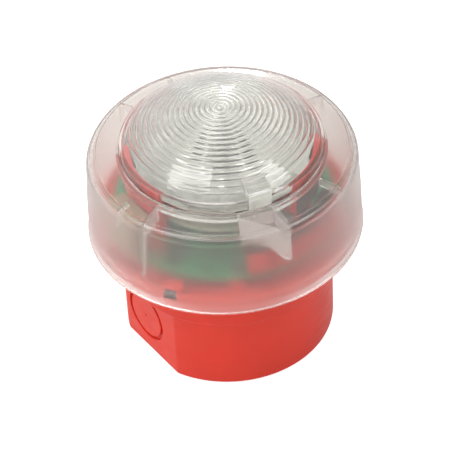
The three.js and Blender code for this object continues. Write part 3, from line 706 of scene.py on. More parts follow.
CLEAR_DOME = clear_plastic(
    "clear_dome_lens",
    tint=(0.985, 0.985, 0.975, 1),
    roughness=0.03,
    haze=0.06,
    haze_colour=(0.93, 0.93, 0.90, 1),
    shadow_tint=(0.80, 0.80, 0.79, 1),
    grain=0.002,
    ripple=0.02,
)
# The dome's clear lip, tinted red over the carrier's screens as painted light from the red behind it.
PAINTED_RED_GLOW_LIP = clear_plastic(
    "clear_lip_painted_red_glow",
    tint=(0.84, 0.26, 0.22, 1),
    roughness=0.06,
    haze=0.38,
    haze_colour=(0.66, 0.10, 0.07, 1),
    shadow_tint=(0.80, 0.80, 0.79, 1),
    grain=0.002,
    ripple=0.02,
)

CAD_FINISHES = {
    "red_body": RED_BODY,
    "red_inner": RED_INNER,
    "clear_cover": FROSTED_WALL,
    "clear_dome": CLEAR_DOME,
    "tube_glass": TUBE_GLASS,
    "gasket": RUBBER,
    "terminal_grey": moulded("terminal_nylon", linear(176, 172, 162), 0.46),
    "screw_steel": metal("screw_steel_bare", linear(186, 188, 192), 0.30),
    "contact_brass": metal("contact_brass_bare", linear(206, 170, 92), 0.30),
    "board_green": circuit_board("board_mask", linear(16, 132, 78), linear(44, 160, 104)),
    "board_olive": OLIVE_BOARD,
    "switch_blue": moulded("switch_blue_moulding", linear(30, 78, 160), 0.36),
    "lever_white": moulded("lever_white_moulding", linear(232, 230, 222), 0.42, variation=0.03),
    "winding_tape": TAPE,
    "black_plastic": BLACK,
    "piezo_ceramic": moulded("piezo_ceramic_face", linear(222, 214, 196), 0.55, grain=0.03, variation=0.04),
    "mirror": MIRROR,
}


def finish_cad_nodes():
    """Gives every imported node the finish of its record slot."""
    for part in frame["record"]["subparts"]:
        node = frame["nodes"].get(part["node"])
        if node is None:
            continue
        material = CAD_FINISHES[part["material_slot"]]
        node.data.materials.clear()
        node.data.materials.append(material)


def place(piece, body, slot, material, *nodes):
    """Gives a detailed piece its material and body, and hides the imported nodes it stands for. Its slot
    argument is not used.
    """
    piece.data.materials.clear()
    piece.data.materials.append(material)
    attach(piece, body)
    if nodes:
        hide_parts(*nodes)


def refinish(piece, material, chosen):
    """Gives the faces that pass a test a second material."""
    piece.data.materials.append(material)
    index = len(piece.data.materials) - 1
    for face in piece.data.polygons:
        if chosen(face):
            face.material_index = index


# ---- back box


def soft_smaller(first, second, softness):
    """The smaller of two lengths, with a rounded change from one to the other."""
    gap = abs(first - second)
    return min(first, second) - softness * math.log(1 + math.exp(-gap / softness))


def box_radius(angle):
    """The box's radius at an angle. It is round but for its two flats."""
    cosine = abs(polar(1.0, angle)[0])
    reach = FLAT_DISTANCE / cosine if cosine > 0.05 else 10 * BOX_RADIUS
    return soft_smaller(BOX_RADIUS, reach, FLAT_CORNER)


def box_row(z, inset):
    turns = [360 * i / BOX_ROUND for i in range(BOX_ROUND)]
    return [(*polar(box_radius(turn) - inset, turn), z) for turn in turns]


def box_outside():
    rows = [[(0.0, 0.0, 0.0)]]
    for turn in np.linspace(0, 90, 7):
        lean = math.radians(turn)
        rows.append(box_row(BOX_EDGE * (1 - math.cos(lean)), BOX_EDGE * (1 - math.sin(lean))))
    rows += [box_row(z, 0.0) for z in (12.0, 24.0, FLAT_TOP - 0.25, FLAT_TOP)]
    round_part = [
        (BOX_RADIUS, FLAT_TOP + 0.15), (BOX_RADIUS + 0.25, BOX_BAND_FOOT - 0.2),
        (BOX_BAND_RADIUS, BOX_BAND_FOOT + 0.25), (BOX_BAND_RADIUS, 42.0),
        (BOX_BAND_RADIUS, BOX_HEIGHT - 0.3), (BOX_BAND_RADIUS - 0.3, BOX_HEIGHT),
    ]
    rows += [ring_row(radius, z, BOX_ROUND) for radius, z in round_part]
    rows.append([(0.0, 0.0, BOX_HEIGHT)])
    return skin("box_moulding", rows, sharp_angle=28)


def box_room():
    mouth = BOX_BAND_RADIUS - BOX_WALL - 0.4
    low = [box_row(z, BOX_WALL) for z in (BOX_FLOOR, FLAT_TOP + BOX_WALL)]
    high = [ring_row(mouth, z, BOX_ROUND) for z in (FLAT_TOP + BOX_WALL, BOX_HEIGHT + 1)]
    return skin("room", [[(0, 0, BOX_FLOOR)], *low, *high, [(0, 0, BOX_HEIGHT + 1)]])


def knockout_cutter(side):
    """The groove round the knockout on one flat, and the pip at its middle."""
    chamfer = 0.22
    groove = turned(
        "groove",
        [
            (KNOCKOUT_DISC, -KNOCKOUT_DEPTH),
            (KNOCKOUT_GROOVE, -KNOCKOUT_DEPTH),
            (KNOCKOUT_GROOVE, -chamfer),
            (KNOCKOUT_GROOVE + chamfer + 0.5, 0.5),
            (KNOCKOUT_DISC - chamfer - 0.5, 0.5),
            (KNOCKOUT_DISC, -chamfer),
        ],
        96,
    )
    radius = KNOCKOUT_PIP
    pip = turned("pip", [(0, -0.5), (radius * 0.7, -0.4), (radius, 0), (radius, 0.5), (0, 0.5)], 24)
    cutter = merge_pieces("knockout_cutter", [groove, pip])
    turn_mesh(cutter, side * 90, "Y")
    return shift_mesh(cutter, side * FLAT_DISTANCE, KNOCKOUT_Y, KNOCKOUT_HEIGHT)


def slot_cutter(x):
    half = (SLOT_LENGTH - SLOT_WIDTH) / 2
    top = [(x + dx, half + dy) for dx, dy in arc(0, 0, SLOT_WIDTH / 2, 0, 180, 12)]
    low = [(x + dx, -half + dy) for dx, dy in arc(0, 0, SLOT_WIDTH / 2, 180, 360, 12)]
    return prism("slot", top + low, -1, BOX_FLOOR + 1)


def box_inner_details():
    """The bayonet lugs with their stops, and the contact pillars and terminal posts."""
    outer = BOX_BAND_RADIUS - BOX_WALL
    foot = BOX_FLOOR - OVERLAP
    near, far = CONTACT_RADIUS - PILLAR_WIDTH / 2, CONTACT_RADIUS + PILLAR_WIDTH / 2
    radius, top = TERMINAL_POST
    made = []
    for angle in LUG_ANGLES:
        stop = angle + LUG_HALF + STOP_HALF
        made.append(sector("lug", LUG_INNER, outer, angle, LUG_HALF, LUG_LOW, LUG_HIGH))
        made.append(sector("lug_stop", LUG_INNER, outer, stop, STOP_HALF, STOP_LOW, LUG_HIGH))
    made += [sector("pillar", near, far, a, PILLAR_HALF, foot, PILLAR_TOP) for a in CONTACT_ANGLES]
    made += [cylinder("post", radius, foot, top, 32, centre) for centre in TERMINAL_POSTS]
    return made


def cable_entry():
    """The round hole in the box's floor, with a chamfer at the wall face."""
    chamfer = 0.6
    profile = [
        (0, -1), (ENTRY_RADIUS + chamfer, -1), (ENTRY_RADIUS + chamfer, 0),
        (ENTRY_RADIUS, chamfer), (ENTRY_RADIUS, 5), (0, 5),
    ]
    return turned("entry", profile, 96, (0, ENTRY_Y))


def build_back_box():
    box = carve(
        box_outside(),
        box_room(),
        knockout_cutter(-1),
        knockout_cutter(1),
        cable_entry(),
        slot_cutter(-SLOT_X),
        slot_cutter(SLOT_X),
    )
    weld(box, *box_inner_details())
    radius, foot = TERMINAL_HOLE
    carve(box, *[cylinder("post_hole", radius, foot, 9, 24, centre) for centre in TERMINAL_POSTS])
    place(box, "base", "red_body", RED_BODY, "back_box")


# ---- head chassis


def chassis_plate():
    """The plate, with a rim at its edge and a bead that centres the drum."""
    rim = PLATE_HIGH + PLATE_RIM
    bead_inner, bead_outer, bead_height = PLATE_BEAD
    profile = [
        (0, PLATE_LOW), (PLATE_RADIUS - 0.3, PLATE_LOW), (PLATE_RADIUS, PLATE_LOW + 0.3),
        (PLATE_RADIUS, rim - 0.4), (PLATE_RADIUS - 0.4, rim), (PLATE_RADIUS - 1.5, rim),
        (PLATE_RADIUS - 1.8, rim - 0.3), (PLATE_RADIUS - 1.8, PLATE_HIGH + 0.4),
        (PLATE_RADIUS - 2.2, PLATE_HIGH), (bead_outer, PLATE_HIGH),
        (bead_outer - 0.2, PLATE_HIGH + bead_height),
        (bead_inner + 0.2, PLATE_HIGH + bead_height), (bead_inner, PLATE_HIGH), (0, PLATE_HIGH),
    ]
    return turned("chassis_moulding", profile, ROUND)


def skirt_ring(inner, outer, low):
    """A skirt that hangs from the plate, with a rounded lower edge."""
    top = PLATE_LOW + OVERLAP
    profile = [
        (inner, low + 0.4), (inner + 0.4, low), (outer - 0.4, low),
        (outer, low + 0.4), (outer, top), (inner, top),
    ]
    return turned("skirt", profile, 160)


def board_post(angle):
    """A tapered post that carries the main board."""
    foot, top = PLATE_HIGH - OVERLAP, BOARD_LOW - SEAT_GAP
    profile = [(0, foot), (POST_RADII[0], foot), (POST_RADII[1], top), (0, top)]
    return turned("post", profile, 40, polar(POST_CIRCLE, angle))


def snap_housing(angle):
    """A roofed housing that takes one snap hook of the drum."""
    housing = sector("pocket", 47.2, PLATE_RADIUS - 0.5, angle, 4.2, PLATE_HIGH - 0.3, POCKET_HIGH + 0.5)
    return round_edges(housing, 0.4, 2)


def chassis_features():
    """The skirts, lock tabs, board posts, snap housings, ribs and the locking screw's boss."""
    top = PLATE_LOW + OVERLAP
    tab_inner, tab_high = SKIRT_OUTER - OVERLAP, LUG_LOW - OVERLAP
    rib_inner, rib_outer = SKIRT_OUTER - 0.2, WEATHER_INNER + 0.2
    return [
        skirt_ring(SKIRT_INNER, SKIRT_OUTER, SKIRT_LOW),
        skirt_ring(WEATHER_INNER, WEATHER_OUTER, WEATHER_LOW),
        *[sector("tab", tab_inner, LOCK_TAB_OUTER, a, LUG_HALF, SKIRT_LOW, tab_high) for a in LUG_ANGLES],
        *[board_post(angle) for angle in POST_ANGLES],
        *[snap_housing(angle) for angle in SNAP_ANGLES],
        *[sector("rib", rib_inner, rib_outer, angle, 0.9, RIB_LOW, top) for angle in RIB_ANGLES],
        block("boss", 6.4, 4.2, LOCK_HEIGHT - 3.2, top, (0, 48.1)),
    ]


def chassis_openings():
    """The holes for contacts, snap hooks, board screws, switches, volume rotor and locking screw."""
    low, high = PLATE_CUT
    pocket = (POCKET_HALF, POCKET_LOW, POCKET_HIGH)
    near, far = CONTACT_RADIUS - 1.1, CONTACT_RADIUS + 1.1
    drill = turn_mesh(cylinder("drill", LOCK_HOLE, -51.2, -45.2, 32), 90, "X")
    return [
        *[sector("slot", near, far, angle, 6, low, high) for angle in CONTACT_ANGLES],
        *[sector("snap", POCKET_INNER, 55, angle, *pocket) for angle in SNAP_ANGLES],
        *[cylinder("pilot", POST_RADII[2], 56, 63, 24, polar(POST_CIRCLE, a)) for a in POST_ANGLES],
        block("switches", 14.6, 9.6, low, high, SWITCH_PLACE),
        cylinder("volume", VOLUME_HOLE, low, high, 40, VOLUME_PLACE),
        shift_mesh(drill, 0, 0, LOCK_HEIGHT),
    ]


def in_pocket(face):
    """True inside a snap housing, whose faces are painted a dark red as shade behind its small opening."""
    radius, angle, z = face_place(face)
    near = any(apart(angle, middle) < POCKET_HALF + 0.3 for middle in SNAP_ANGLES)
    deep = POCKET_INNER - 0.1 < radius < PLATE_RADIUS - 0.6
    return near and deep and POCKET_LOW - 0.1 < z < POCKET_HIGH + 0.1


def build_chassis():
    chassis = chassis_plate()
    weld(chassis, *chassis_features())
    carve(chassis, *chassis_openings())
    place(chassis, "head", "red_body", RED_INNER, "head_chassis")
    # Painted shade: the snap housings' insides get a dark red.
    refinish(chassis, POCKET_PAINTED_SHADE, in_pocket)


# ---- clear drum


def annulus_height(radius):
    """Height of the drum's top face, which rises gently from the shoulder to the dome."""
    start = SHOULDER_CENTRE + 1.0
    share = (start - radius) / (start - ANNULUS_INNER)
    return SHOULDER_START + SHOULDER_RADIUS + ANNULUS_RISE * share


def top_bead(radius):
    """A fine raised bead round the drum's top face."""
    half = BEAD_WIDTH / 2
    steps = [(half, 0.0), (half * 0.5, 0.8), (0.0, 1.0), (-half * 0.5, 0.8), (-half, 0.0)]
    return [(radius + dr, annulus_height(radius + dr) + share * BEAD_HEIGHT) for dr, share in steps]


def shoulder_bead():
    """A fine raised bead on the shoulder, where the frosted wall ends and the polished top starts."""
    steps = [(-4.5, 0.0), (-2.5, 0.8), (0.0, 1.0), (2.5, 0.8), (4.5, 0.0)]
    points = []
    for turn, share in steps:
        r, z = polar(SHOULDER_RADIUS + share * BEAD_HEIGHT, SHOULDER_BEAD + turn)
        points.append((SHOULDER_CENTRE + r, SHOULDER_START + z))
    return points


def drum_profile():
    """The drum's shell as a closed loop: its foot and lip, its outside, its top and its inside."""
    outer_arc = [
        *arc(SHOULDER_CENTRE, SHOULDER_START, SHOULDER_RADIUS, 0, SHOULDER_BEAD - 8, 6),
        *shoulder_bead(),
        *arc(SHOULDER_CENTRE, SHOULDER_START, SHOULDER_RADIUS, SHOULDER_BEAD + 8, 76, 3),
    ]
    inner_arc = arc(SHOULDER_CENTRE, SHOULDER_START, SHOULDER_RADIUS - DRUM_WALL, 80, 0, 8)
    top = SHOULDER_START + SHOULDER_RADIUS + ANNULUS_RISE
    middle_r = (DRUM_WALL_FOOT + DRUM_WALL_TOP) / 2 + 0.25
    middle_z = (DRUM_FOOT + SHOULDER_START) / 2
    return [
        (DRUM_WALL_FOOT - DRUM_WALL, DRUM_FOOT), (DRUM_RIM - 0.9, DRUM_FOOT),
        (DRUM_RIM, DRUM_FOOT + 0.8), (DRUM_RIM, DRUM_FOOT + DRUM_LIP - 0.2),
        (DRUM_RIM - 0.15, DRUM_FOOT + DRUM_LIP), (DRUM_WALL_FOOT, DRUM_FOOT + DRUM_LIP + 0.6),
        (middle_r, middle_z),
        *outer_arc,
        *top_bead(TOP_BEAD),
        (ANNULUS_INNER + 0.3, top),
        (ANNULUS_INNER, top - 0.3),
        (ANNULUS_INNER, top - DRUM_WALL),
        *inner_arc,
        (middle_r - DRUM_WALL, middle_z),
    ]


def inside_drum():
    """The space that the drum's shell closes, out to the middle of the shell."""
    middle = DRUM_WALL / 2
    top = SHOULDER_START + SHOULDER_RADIUS + ANNULUS_RISE - middle
    shoulder = arc(SHOULDER_CENTRE, SHOULDER_START, SHOULDER_RADIUS - middle, 10, 80, 8)
    side = [(0, DRUM_FOOT), (WEB_OUTER, DRUM_FOOT), (WEB_OUTER, SHOULDER_START)]
    return turned("inside", [*side, *shoulder, (ANNULUS_INNER + middle, top), (0, top)], ROUND)


def web_plate(angle, inner, inner_foot, wall_foot):
    """One stiffening web, which stands on edge under the drum's top."""
    outline = [
        (inner, DOME_STEP_TOP), (inner, inner_foot), (WEB_OUTER - WEB_HEEL, inner_foot - 1),
        (WEB_OUTER - WEB_TOE, wall_foot + 0.5), (WEB_OUTER - WEB_TOE + 0.5, wall_foot),
        (WEB_OUTER, wall_foot), (WEB_OUTER, DOME_STEP_TOP),
    ]
    return standing_plate("web", outline, WEB_THICKNESS, angle)


def gate_block():
    """The block at the front of the drum, cut away below towards the wall."""
    plan = [polar(radius, angle) for radius, angle in GATE_PLAN]
    start = Vector(plan[0])
    chord = Vector(plan[1]) - start
    gate = prism("gate", plan, GATE_LOW, DOME_STEP_TOP)
    outline = [
        (-20, GATE_HEEL), (GATE_HEEL_END, GATE_HEEL + 0.5), (GATE_TOE_START, GATE_LOW),
        (GATE_TOE_START, GATE_LOW - 1), (-20, GATE_LOW - 1),
    ]
    under_cut = standing_plate("under_cut", outline, 40, math.degrees(math.atan2(chord.y, chord.x)))
    shift_mesh(under_cut, start.x, start.y, 0)
    carve(gate, under_cut)
    return round_edges(gate, 0.35, 2)


def in_gate(face):
    """True for a face of the gate block, which has a frosted finish."""
    radius, angle, z = face_place(face)
    first, last = GATE_PLAN[0][1] - 0.5, GATE_PLAN[2][1] + 0.5
    return first < angle < last and radius < WEB_OUTER - 1 and GATE_LOW - 0.1 < z < 90.0


def on_web(face):
    """True for a face of one of the stiffening webs."""
    x, y, z = (value / MM for value in face.center)
    if abs(face.normal.z) > 0.5 and z > 88.0:
        return False
    for angle, inner, _, wall_foot in WEBS:
        cosine, sine = polar(1.0, angle)
        along = x * cosine + y * sine
        across = abs(y * cosine - x * sine)
        if across < WEB_THICKNESS / 2 + 0.05 and inner - 0.1 < along < WEB_OUTER and z > wall_foot - 0.1:
            return True
    return False


def drum_finish(face):
    """The material slot of a face: its hooks, lip and top are polished, and its wall is frosted."""
    radius, _, z = face_place(face)
    top_radius, top_height = POLISHED_UNDER_TOP
    on_hook = z < SNAP_HIGH + 0.1 and radius < 54.0
    on_lip = z < DRUM_FOOT + DRUM_LIP + 0.1
    on_top = z > POLISHED_FROM or (z > top_height and radius < top_radius)
    if in_gate(face):
        return GATE_FINISH
    if on_hook or on_lip:
        return POLISHED_FINISH
    if on_web(face):
        return WEB_FINISH
    return POLISHED_FINISH if on_top else WALL_FINISH


def build_drum():
    drum = turned("drum_moulding", drum_profile(), ROUND, sharp_angle=32)
    ribs = weld(web_plate(*WEBS[0]), *[web_plate(*row) for row in WEBS[1:]], gate_block())
    combine(ribs, [inside_drum()], "INTERSECT")
    hooks = [sector("hook", SNAP_INNER, 54.8, a, SNAP_HALF, SNAP_LOW, SNAP_HIGH) for a in SNAP_ANGLES]
    parting_line = [(55.2, 53.8), (56.5, 53.8), (56.3, 60.6), (55.2, 61.0)]
    weld(drum, ribs, *hooks, standing_plate("parting", parting_line, 0.3, PARTING_ANGLE))
    place(drum, "head", "clear_cover", FROSTED_WALL, "drum_cover")
    for material in (CLEAR_GATE, CLEAR_WEB, POLISHED_TOP):
        drum.data.materials.append(material)
    for face in drum.data.polygons:
        face.material_index = drum_finish(face)


# ---- Fresnel dome


def cap_height(radius, base_radius, base, apex):
    """Height of a round cap over a base circle, at a radius from its axis."""
    rise = apex - base
    sphere = (base_radius**2 + rise**2) / (2 * rise)
    return apex - sphere + math.sqrt(sphere**2 - radius**2)


def lens_outside():
    """The lens's outer face from the middle out, with a faint wave over each ring inside."""
    count = int(DOME_RADIUS / RING_PITCH)
    radii = [(ring + step) * RING_PITCH for ring in range(count) for step in (0.0, 0.25, 0.5, 0.75)]
    points = []
    for radius in [*radii, DOME_RADIUS]:
        wave = math.cos(2 * math.pi * radius / RING_PITCH) - 1
        height = cap_height(radius, DOME_RADIUS, DOME_STEP_TOP, DOME_APEX)
        points.append((radius, height + wave * OUTER_WAVE / 2))
    return points


def lens_rings():
    """The lens's inner face: beads of one pitch, each rounded towards the reflector."""
    inner_radius = DOME_RADIUS - DOME_WALL
    base, apex = DOME_STEP_TOP - 0.6, DOME_APEX - DOME_WALL
    count = int(inner_radius / RING_PITCH)
    points = []
    for ring in range(count):
        for step in RING_STEPS:
            radius = (ring + step) * RING_PITCH
            bead = math.sqrt(max(0.0, 1 - (2 * step - 1) ** 2))
            raised = RING_DEPTH * (1 - bead)
            points.append((radius, cap_height(radius, inner_radius, base, apex) + raised))
    points.append((inner_radius, base))
    return points


def dome_tab():
    """The dome's moulding tab, which fills the corner between the lens and the front of its step."""
    outline = [
        (39.6, 93.0), (41.8, 93.0), (41.8, 101.6),
        (41.2, 102.2), (34.5, 102.6), (34.5, 101.2),
        (37.0, 98.6), (39.6, 95.6),
    ]
    return round_edges(standing_plate("tab", outline, TAB_WIDTH, TAB_ANGLE), 0.4, 2)


def over_red_screen(face):
    """True for the part of the dome's lip over a screen of the carrier, which is tinted red as painted
    light from that screen.
    """
    _, angle, z = face_place(face)
    near = any(apart(angle, middle) < half for middle, half in CARRIER_SCREENS)
    return near and z < DOME_LIP_HIGH + 0.4


def build_dome():
    step = [
        (DOME_RADIUS, DOME_LIP_HIGH + 0.3), (DOME_RADIUS + 0.2, DOME_LIP_HIGH),
        (DOME_LIP_RADIUS, DOME_LIP_HIGH), (DOME_LIP_RADIUS, DOME_LIP_LOW),
        (DOME_RADIUS - DOME_WALL, DOME_LIP_LOW),
    ]
    profile = [*lens_outside(), *step, *reversed(lens_rings())]
    lens = weld(turned("dome_lens", profile, ROUND, sharp_angle=30), dome_tab())
    place(lens, "head", "clear_dome", CLEAR_DOME, "fresnel_dome")
    # Painted light: the lip over the screens is tinted red.
    refinish(lens, PAINTED_RED_GLOW_LIP, over_red_screen)


# ---- reflector and its carrier


def reflector_row(radius, z, fold):
    """A ring of points in which every second one is lower by the fold."""
    turns = [REFLECTOR_TURN + 180 * i / REFLECTOR_FOLDS for i in range(2 * REFLECTOR_FOLDS)]
    return [(*polar(radius, turn), z - fold * (i % 2)) for i, turn in enumerate(turns)]


def reflector_shell():
    folds = REFLECTOR_FOLD_DEPTH
    top = [
        (REFLECTOR_HOLE, REFLECTOR_HOLE_Z, 0.0),
        (REFLECTOR_MIDDLE, REFLECTOR_MIDDLE_Z, folds * 0.7),
        (REFLECTOR_OUTER, REFLECTOR_OUTER_Z, folds),
        (REFLECTOR_RIM - 0.8, REFLECTOR_RIM_Z - 0.3, folds * 0.5),
        (REFLECTOR_RIM, REFLECTOR_RIM_Z, 0.0),
    ]
    rows = [reflector_row(*row) for row in top]
    rows += [reflector_row(radius, z - REFLECTOR_SKIN, fold) for radius, z, fold in reversed(top)]
    return skin("faceted_reflector", rows, closed=True, sharp_angle=REFLECTOR_CREASE)


def reflector_slot(middle, width):
    """A slot under the flash tube. The row of slots follows the tube's line."""
    slot = block("tube_slot", width, TUBE_SLOT_LENGTH, 76, 92, (middle, TUBE_SLOT_LINE))
    return turn_mesh(slot, TUBE_TURN)


def on_far_facets(face):
    """True for the two facets behind the flash tube, which get a paler mirror as a painted highlight."""
    radius, angle, _ = face_place(face)
    far_side = apart(angle, REFLECTOR_TURN + 180) < 180 / REFLECTOR_FOLDS
    return far_side and face.normal.z > 0 and REFLECTOR_MIDDLE - 4 < radius < REFLECTOR_OUTER


def build_reflector():
    mirror = reflector_shell()
    carve(mirror, *[reflector_slot(*slot) for slot in TUBE_SLOTS])
    crisp(mirror, REFLECTOR_CREASE)
    place(mirror, "head", "mirror", MIRROR, "reflector")
    # Painted highlight: a paler mirror on the facets behind the tube.
    refinish(mirror, PAINTED_HIGHLIGHT_MIRROR, on_far_facets)


def on_painted_shade_side(face):
    """True for the part of the carrier's outer side that faces the horn, which is painted dark as shade."""
    radius, angle, z = face_place(face)
    outward = face.normal.x * face.center.x + face.normal.y * face.center.y > 0
    covered = PAINTED_SHADE_SIDE[0] < angle < PAINTED_SHADE_SIDE[1] and CARRIER_LOW < z < CARRIER_HIGH + 0.1
    return outward and covered and radius > CARRIER_OUTER - 0.7


def carrier_wall():
    """The carrier's round wall, with a ledge inside its foot."""
    profile = [
        (LEDGE_INNER, CARRIER_LOW), (CARRIER_OUTER, CARRIER_LOW),
        (CARRIER_OUTER, CARRIER_HIGH - 0.4), (CARRIER_OUTER - 0.4, CARRIER_HIGH),
        (CARRIER_INNER + 0.4, CARRIER_HIGH), (CARRIER_INNER, CARRIER_HIGH - 0.4),
        (CARRIER_INNER, LEDGE_HIGH), (LEDGE_INNER, LEDGE_HIGH),
    ]
    return turned("strobe_carrier", profile, 160)


def build_carrier():
    wall = carrier_wall()
    outer, foot = CARRIER_OUTER + 1, CARRIER_HIGH - OVERLAP
    carve(wall, *[sector("window", inner, outer, *arcs, 75, 89) for inner, *arcs in CARRIER_WINDOWS])
    grown = []
    for angle in CARRIER_LEGS:
        grown.append(sector("leg", CARRIER_INNER, CARRIER_OUTER, angle, 6, ON_BOARD, CARRIER_LOW + OVERLAP))
    for middle, half in CARRIER_SCREENS:
        grown.append(sector("screen", SCREEN_INNER, SCREEN_OUTER, middle, half, foot, SCREEN_TOP))
    weld(wall, *grown)
    place(wall, "head", "red_inner", CARRIER_RED, "reflector_carrier")
    # Painted shade on the carrier's side towards the horn.
    refinish(wall, PAINTED_SHADE_COVER, on_painted_shade_side)


# ---- sounder


def horn_cup(centre):
    profile = [
        (0, ON_BOARD), (CUP_RADIUS - 0.4, ON_BOARD), (CUP_RADIUS, ON_BOARD + 0.4),
        (CUP_RADIUS, CUP_TOP - 0.4), (CUP_RADIUS - 0.4, CUP_TOP), (0, CUP_TOP),
    ]
    return turned("horn_moulding", profile, 96, centre)


def on_horn_top(face):
    """True for the mouth's top face, which is painted dark as shade."""
    radius, _, z = face_place(face)
    return z > MOUTH_TOP - 0.8 and radius > MOUTH_INNER - 0.5


def build_horn():
    """The sounder horn: a cup for the piezo disc, which opens into a mouth behind the drum wall."""
    centre = polar(*HORN_PLACE)
    cup = horn_cup(centre)
    mouth = sector("mouth", MOUTH_INNER, MOUTH_OUTER, MOUTH_ANGLE, MOUTH_HALF, ON_BOARD, MOUTH_TOP)
    round_edges(mouth, 0.8)
    weld(cup, mouth)
    room = cylinder("room", CUP_RADIUS - HORN_WALL, ON_BOARD + HORN_WALL, 83, 96, centre)
    near, far = MOUTH_INNER + HORN_WALL, MOUTH_OUTER + 1
    throat = sector("throat", near, far, MOUTH_ANGLE, THROAT_HALF, THROAT_LOW, THROAT_HIGH)
    carve(cup, room, throat)
    place(cup, "head", "red_inner", DEEP_RED, "sounder_horn")
    # Painted shade on the mouth's top face.
    refinish(cup, PAINTED_SHADE_COVER, on_horn_top)


# ---- electronics


def board_parts():
    """Small surface-mount parts in rows on the main board, clear of everything that stands on it."""
    draws = random.Random(11)
    taken = STANDING + [(*polar(POST_CIRCLE, angle), 5) for angle in POST_ANGLES]
    taken += [(*polar(38.6, angle), 6) for angle in CARRIER_LEGS]
    taken += [(*polar(CONTACT_RADIUS, angle), 5) for angle in CONTACT_ANGLES]
    short, long = CHIP_SIZE
    made = []
    for column in range(-8, 9):
        for line in range(-8, 9):
            x = column * CHIP_PITCH + draws.uniform(-0.8, 0.8)
            y = line * CHIP_PITCH + draws.uniform(-0.8, 0.8)
            upright = draws.random() < 0.5
            wide, deep = (short, long) if upright else (long, short)
            clear = all(math.hypot(x - cx, y - cy) > reach + 1.5 for cx, cy, reach in taken)
            if clear and math.hypot(x, y) < BOARD_RADIUS - 3:
                high = ON_BOARD + draws.choice(CHIP_HEIGHTS)
                made.append(block("chip", wide, deep, BOARD_LOW + BOARD_THICKNESS, high, (x, y), 0.12))
    return made


def build_boards():
    parts = merge_pieces("board_small_parts", board_parts())
    place(parts, "head", "black_plastic", BLACK)


def build_transformer():
    """A taped winding between two flanges."""
    width, depth, thick = TRANSFORMER_FLANGE
    lower, upper = ON_BOARD + thick, TRANSFORMER_TOP - thick
    foot = block("foot", width, depth, ON_BOARD, lower, TRANSFORMER, 0.5)
    head = block("top", width, depth, upper, TRANSFORMER_TOP, TRANSFORMER, 0.5)
    coil = block("coil", *TRANSFORMER_COIL, lower - 0.2, upper + 0.2, TRANSFORMER, 1.6)
    whole = merge_pieces("transformer_winding", [coil, foot, head])
    place(whole, "head", "winding_tape", TAPE, "transformer")


def build_capacitor(name, node, radius, top, x, y):
    """A capacitor's can, with the rolled groove near its foot and a sunk top."""
    low = ON_BOARD
    profile = [
        (0, low), (radius - 0.4, low), (radius, low + 0.4),
        (radius, low + 1), (radius - 0.4, low + 1.5), (radius, low + 2),
        (radius, top - 0.6), (radius - 0.6, top), (radius - 1.0, top - 0.25),
        (0, top - 0.25),
    ]
    can = turned(name, profile, SMALL_ROUND, (x, y))
    place(can, "head", "black_plastic", BLACK, node)


# ---- stage, light and camera


def pale_floor():
    """White paper. Its glow is only for the camera, so it doesn't light the part."""
    bpy.ops.mesh.primitive_plane_add(size=6.0, location=(0, 0, -0.0002))
    floor = bpy.context.object
    floor.name = "studio_floor"
    paint = new_paint("studio_floor_paper")
    drift = paint.ramp(paint.noise(3, 2), 0.0, 1.0)
    white = paint.mix(drift, (0.80, 0.80, 0.80, 1), (0.83, 0.83, 0.83, 1))
    paper = paint.principled(Roughness=0.85, Base_Color=white)
    camera_ray = paint.node("LightPath").outputs["Is Camera Ray"]
    seen = paint.node("Math", {0: camera_ray, 1: FLOOR_GLOW}, operation="MULTIPLY").outputs["Value"]
    glow = paint.node("Emission", {"Strength": seen}).outputs["Emission"]
    both = paint.node("AddShader", {0: paper, 1: glow}).outputs["Shader"]
    floor.data.materials.append(paint.finish(both))


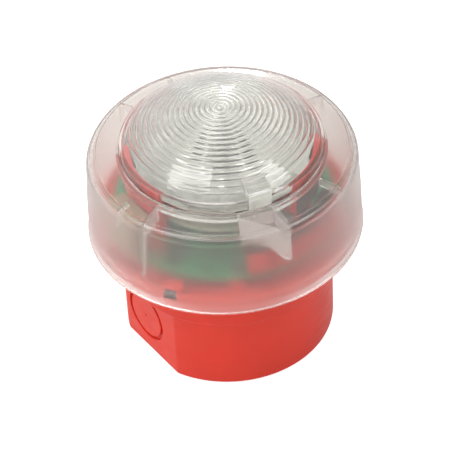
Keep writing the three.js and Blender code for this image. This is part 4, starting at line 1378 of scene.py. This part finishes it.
def soft_lamp(name, location, spin, width, height, power):
    lamp = bpy.data.lights.new(name, "AREA")
    lamp.shape = "RECTANGLE"
    lamp.size = width
    lamp.size_y = height
    lamp.energy = power
    holder = bpy.data.objects.new(name, lamp)
    bpy.context.scene.collection.objects.link(holder)
    holder.location = location
    facing = (Vector(LAMP_AIM) - Vector(location)).to_track_quat("-Z", "Y").to_matrix()
    holder.rotation_euler = (facing @ Matrix.Rotation(math.radians(spin), 3, "Z")).to_euler()


def room_light():
    """Studio walls: brightest up on the left, dimmer on the side the photographer stands."""
    world = bpy.data.worlds.new("studio_world")
    bpy.context.scene.world = world
    walls = Paint(world, "World")
    sides = {0: walls.coordinates["Generated"], 1: BRIGHT_SIDE}
    facing = walls.node("VectorMath", sides, operation="DOT_PRODUCT").outputs["Value"]
    level = walls.ramp(facing, WORLD_DIM, WORLD_BRIGHT, -0.6, 0.9, interpolation_type="SMOOTHSTEP")
    light = walls.node("Background", {"Color": (1.0, 0.99, 0.97, 1), "Strength": level})
    walls.finish(light.outputs["Background"])


def studio():
    room_light()
    pale_floor()
    for lamp in LAMPS:
        soft_lamp(*lamp)
    bpy.context.scene.view_settings.view_transform = "Standard"
    for kind in ("max_bounces", "transmission_bounces", "transparent_max_bounces"):
        setattr(bpy.context.scene.cycles, kind, BOUNCES)


def photo_camera():
    """A camera at the photograph's viewing angle, rolled a little as the photograph is."""
    turn = Matrix.Rotation(math.radians(CAMERA_AZIMUTH), 4, "Z")
    turn @= Matrix.Rotation(math.radians(90 - CAMERA_ELEVATION), 4, "X")
    turn @= Matrix.Rotation(math.radians(-CAMERA_ROLL), 4, "Z")
    lens = bpy.data.cameras.new("photo_camera")
    lens.lens = CAMERA_LENS
    camera = bpy.data.objects.new("photo_camera", lens)
    bpy.context.scene.collection.objects.link(camera)
    back = Matrix.Translation((0, 0, CAMERA_DISTANCE))
    camera.matrix_world = Matrix.Translation(CAMERA_AIM) @ turn @ back
    bpy.context.scene.camera = camera


# ---- the whole scene

photo_camera()
studio()
finish_cad_nodes()
build_back_box()
build_chassis()
build_drum()
build_dome()
build_reflector()
build_carrier()
build_horn()
build_boards()
build_transformer()
build_capacitor("storage_capacitor_can", "storage_capacitor", 6.2, 73.0, -20, 14)
build_capacitor("filter_capacitor_can", "filter_capacitor", 4.0, 72.0, 22, 12)
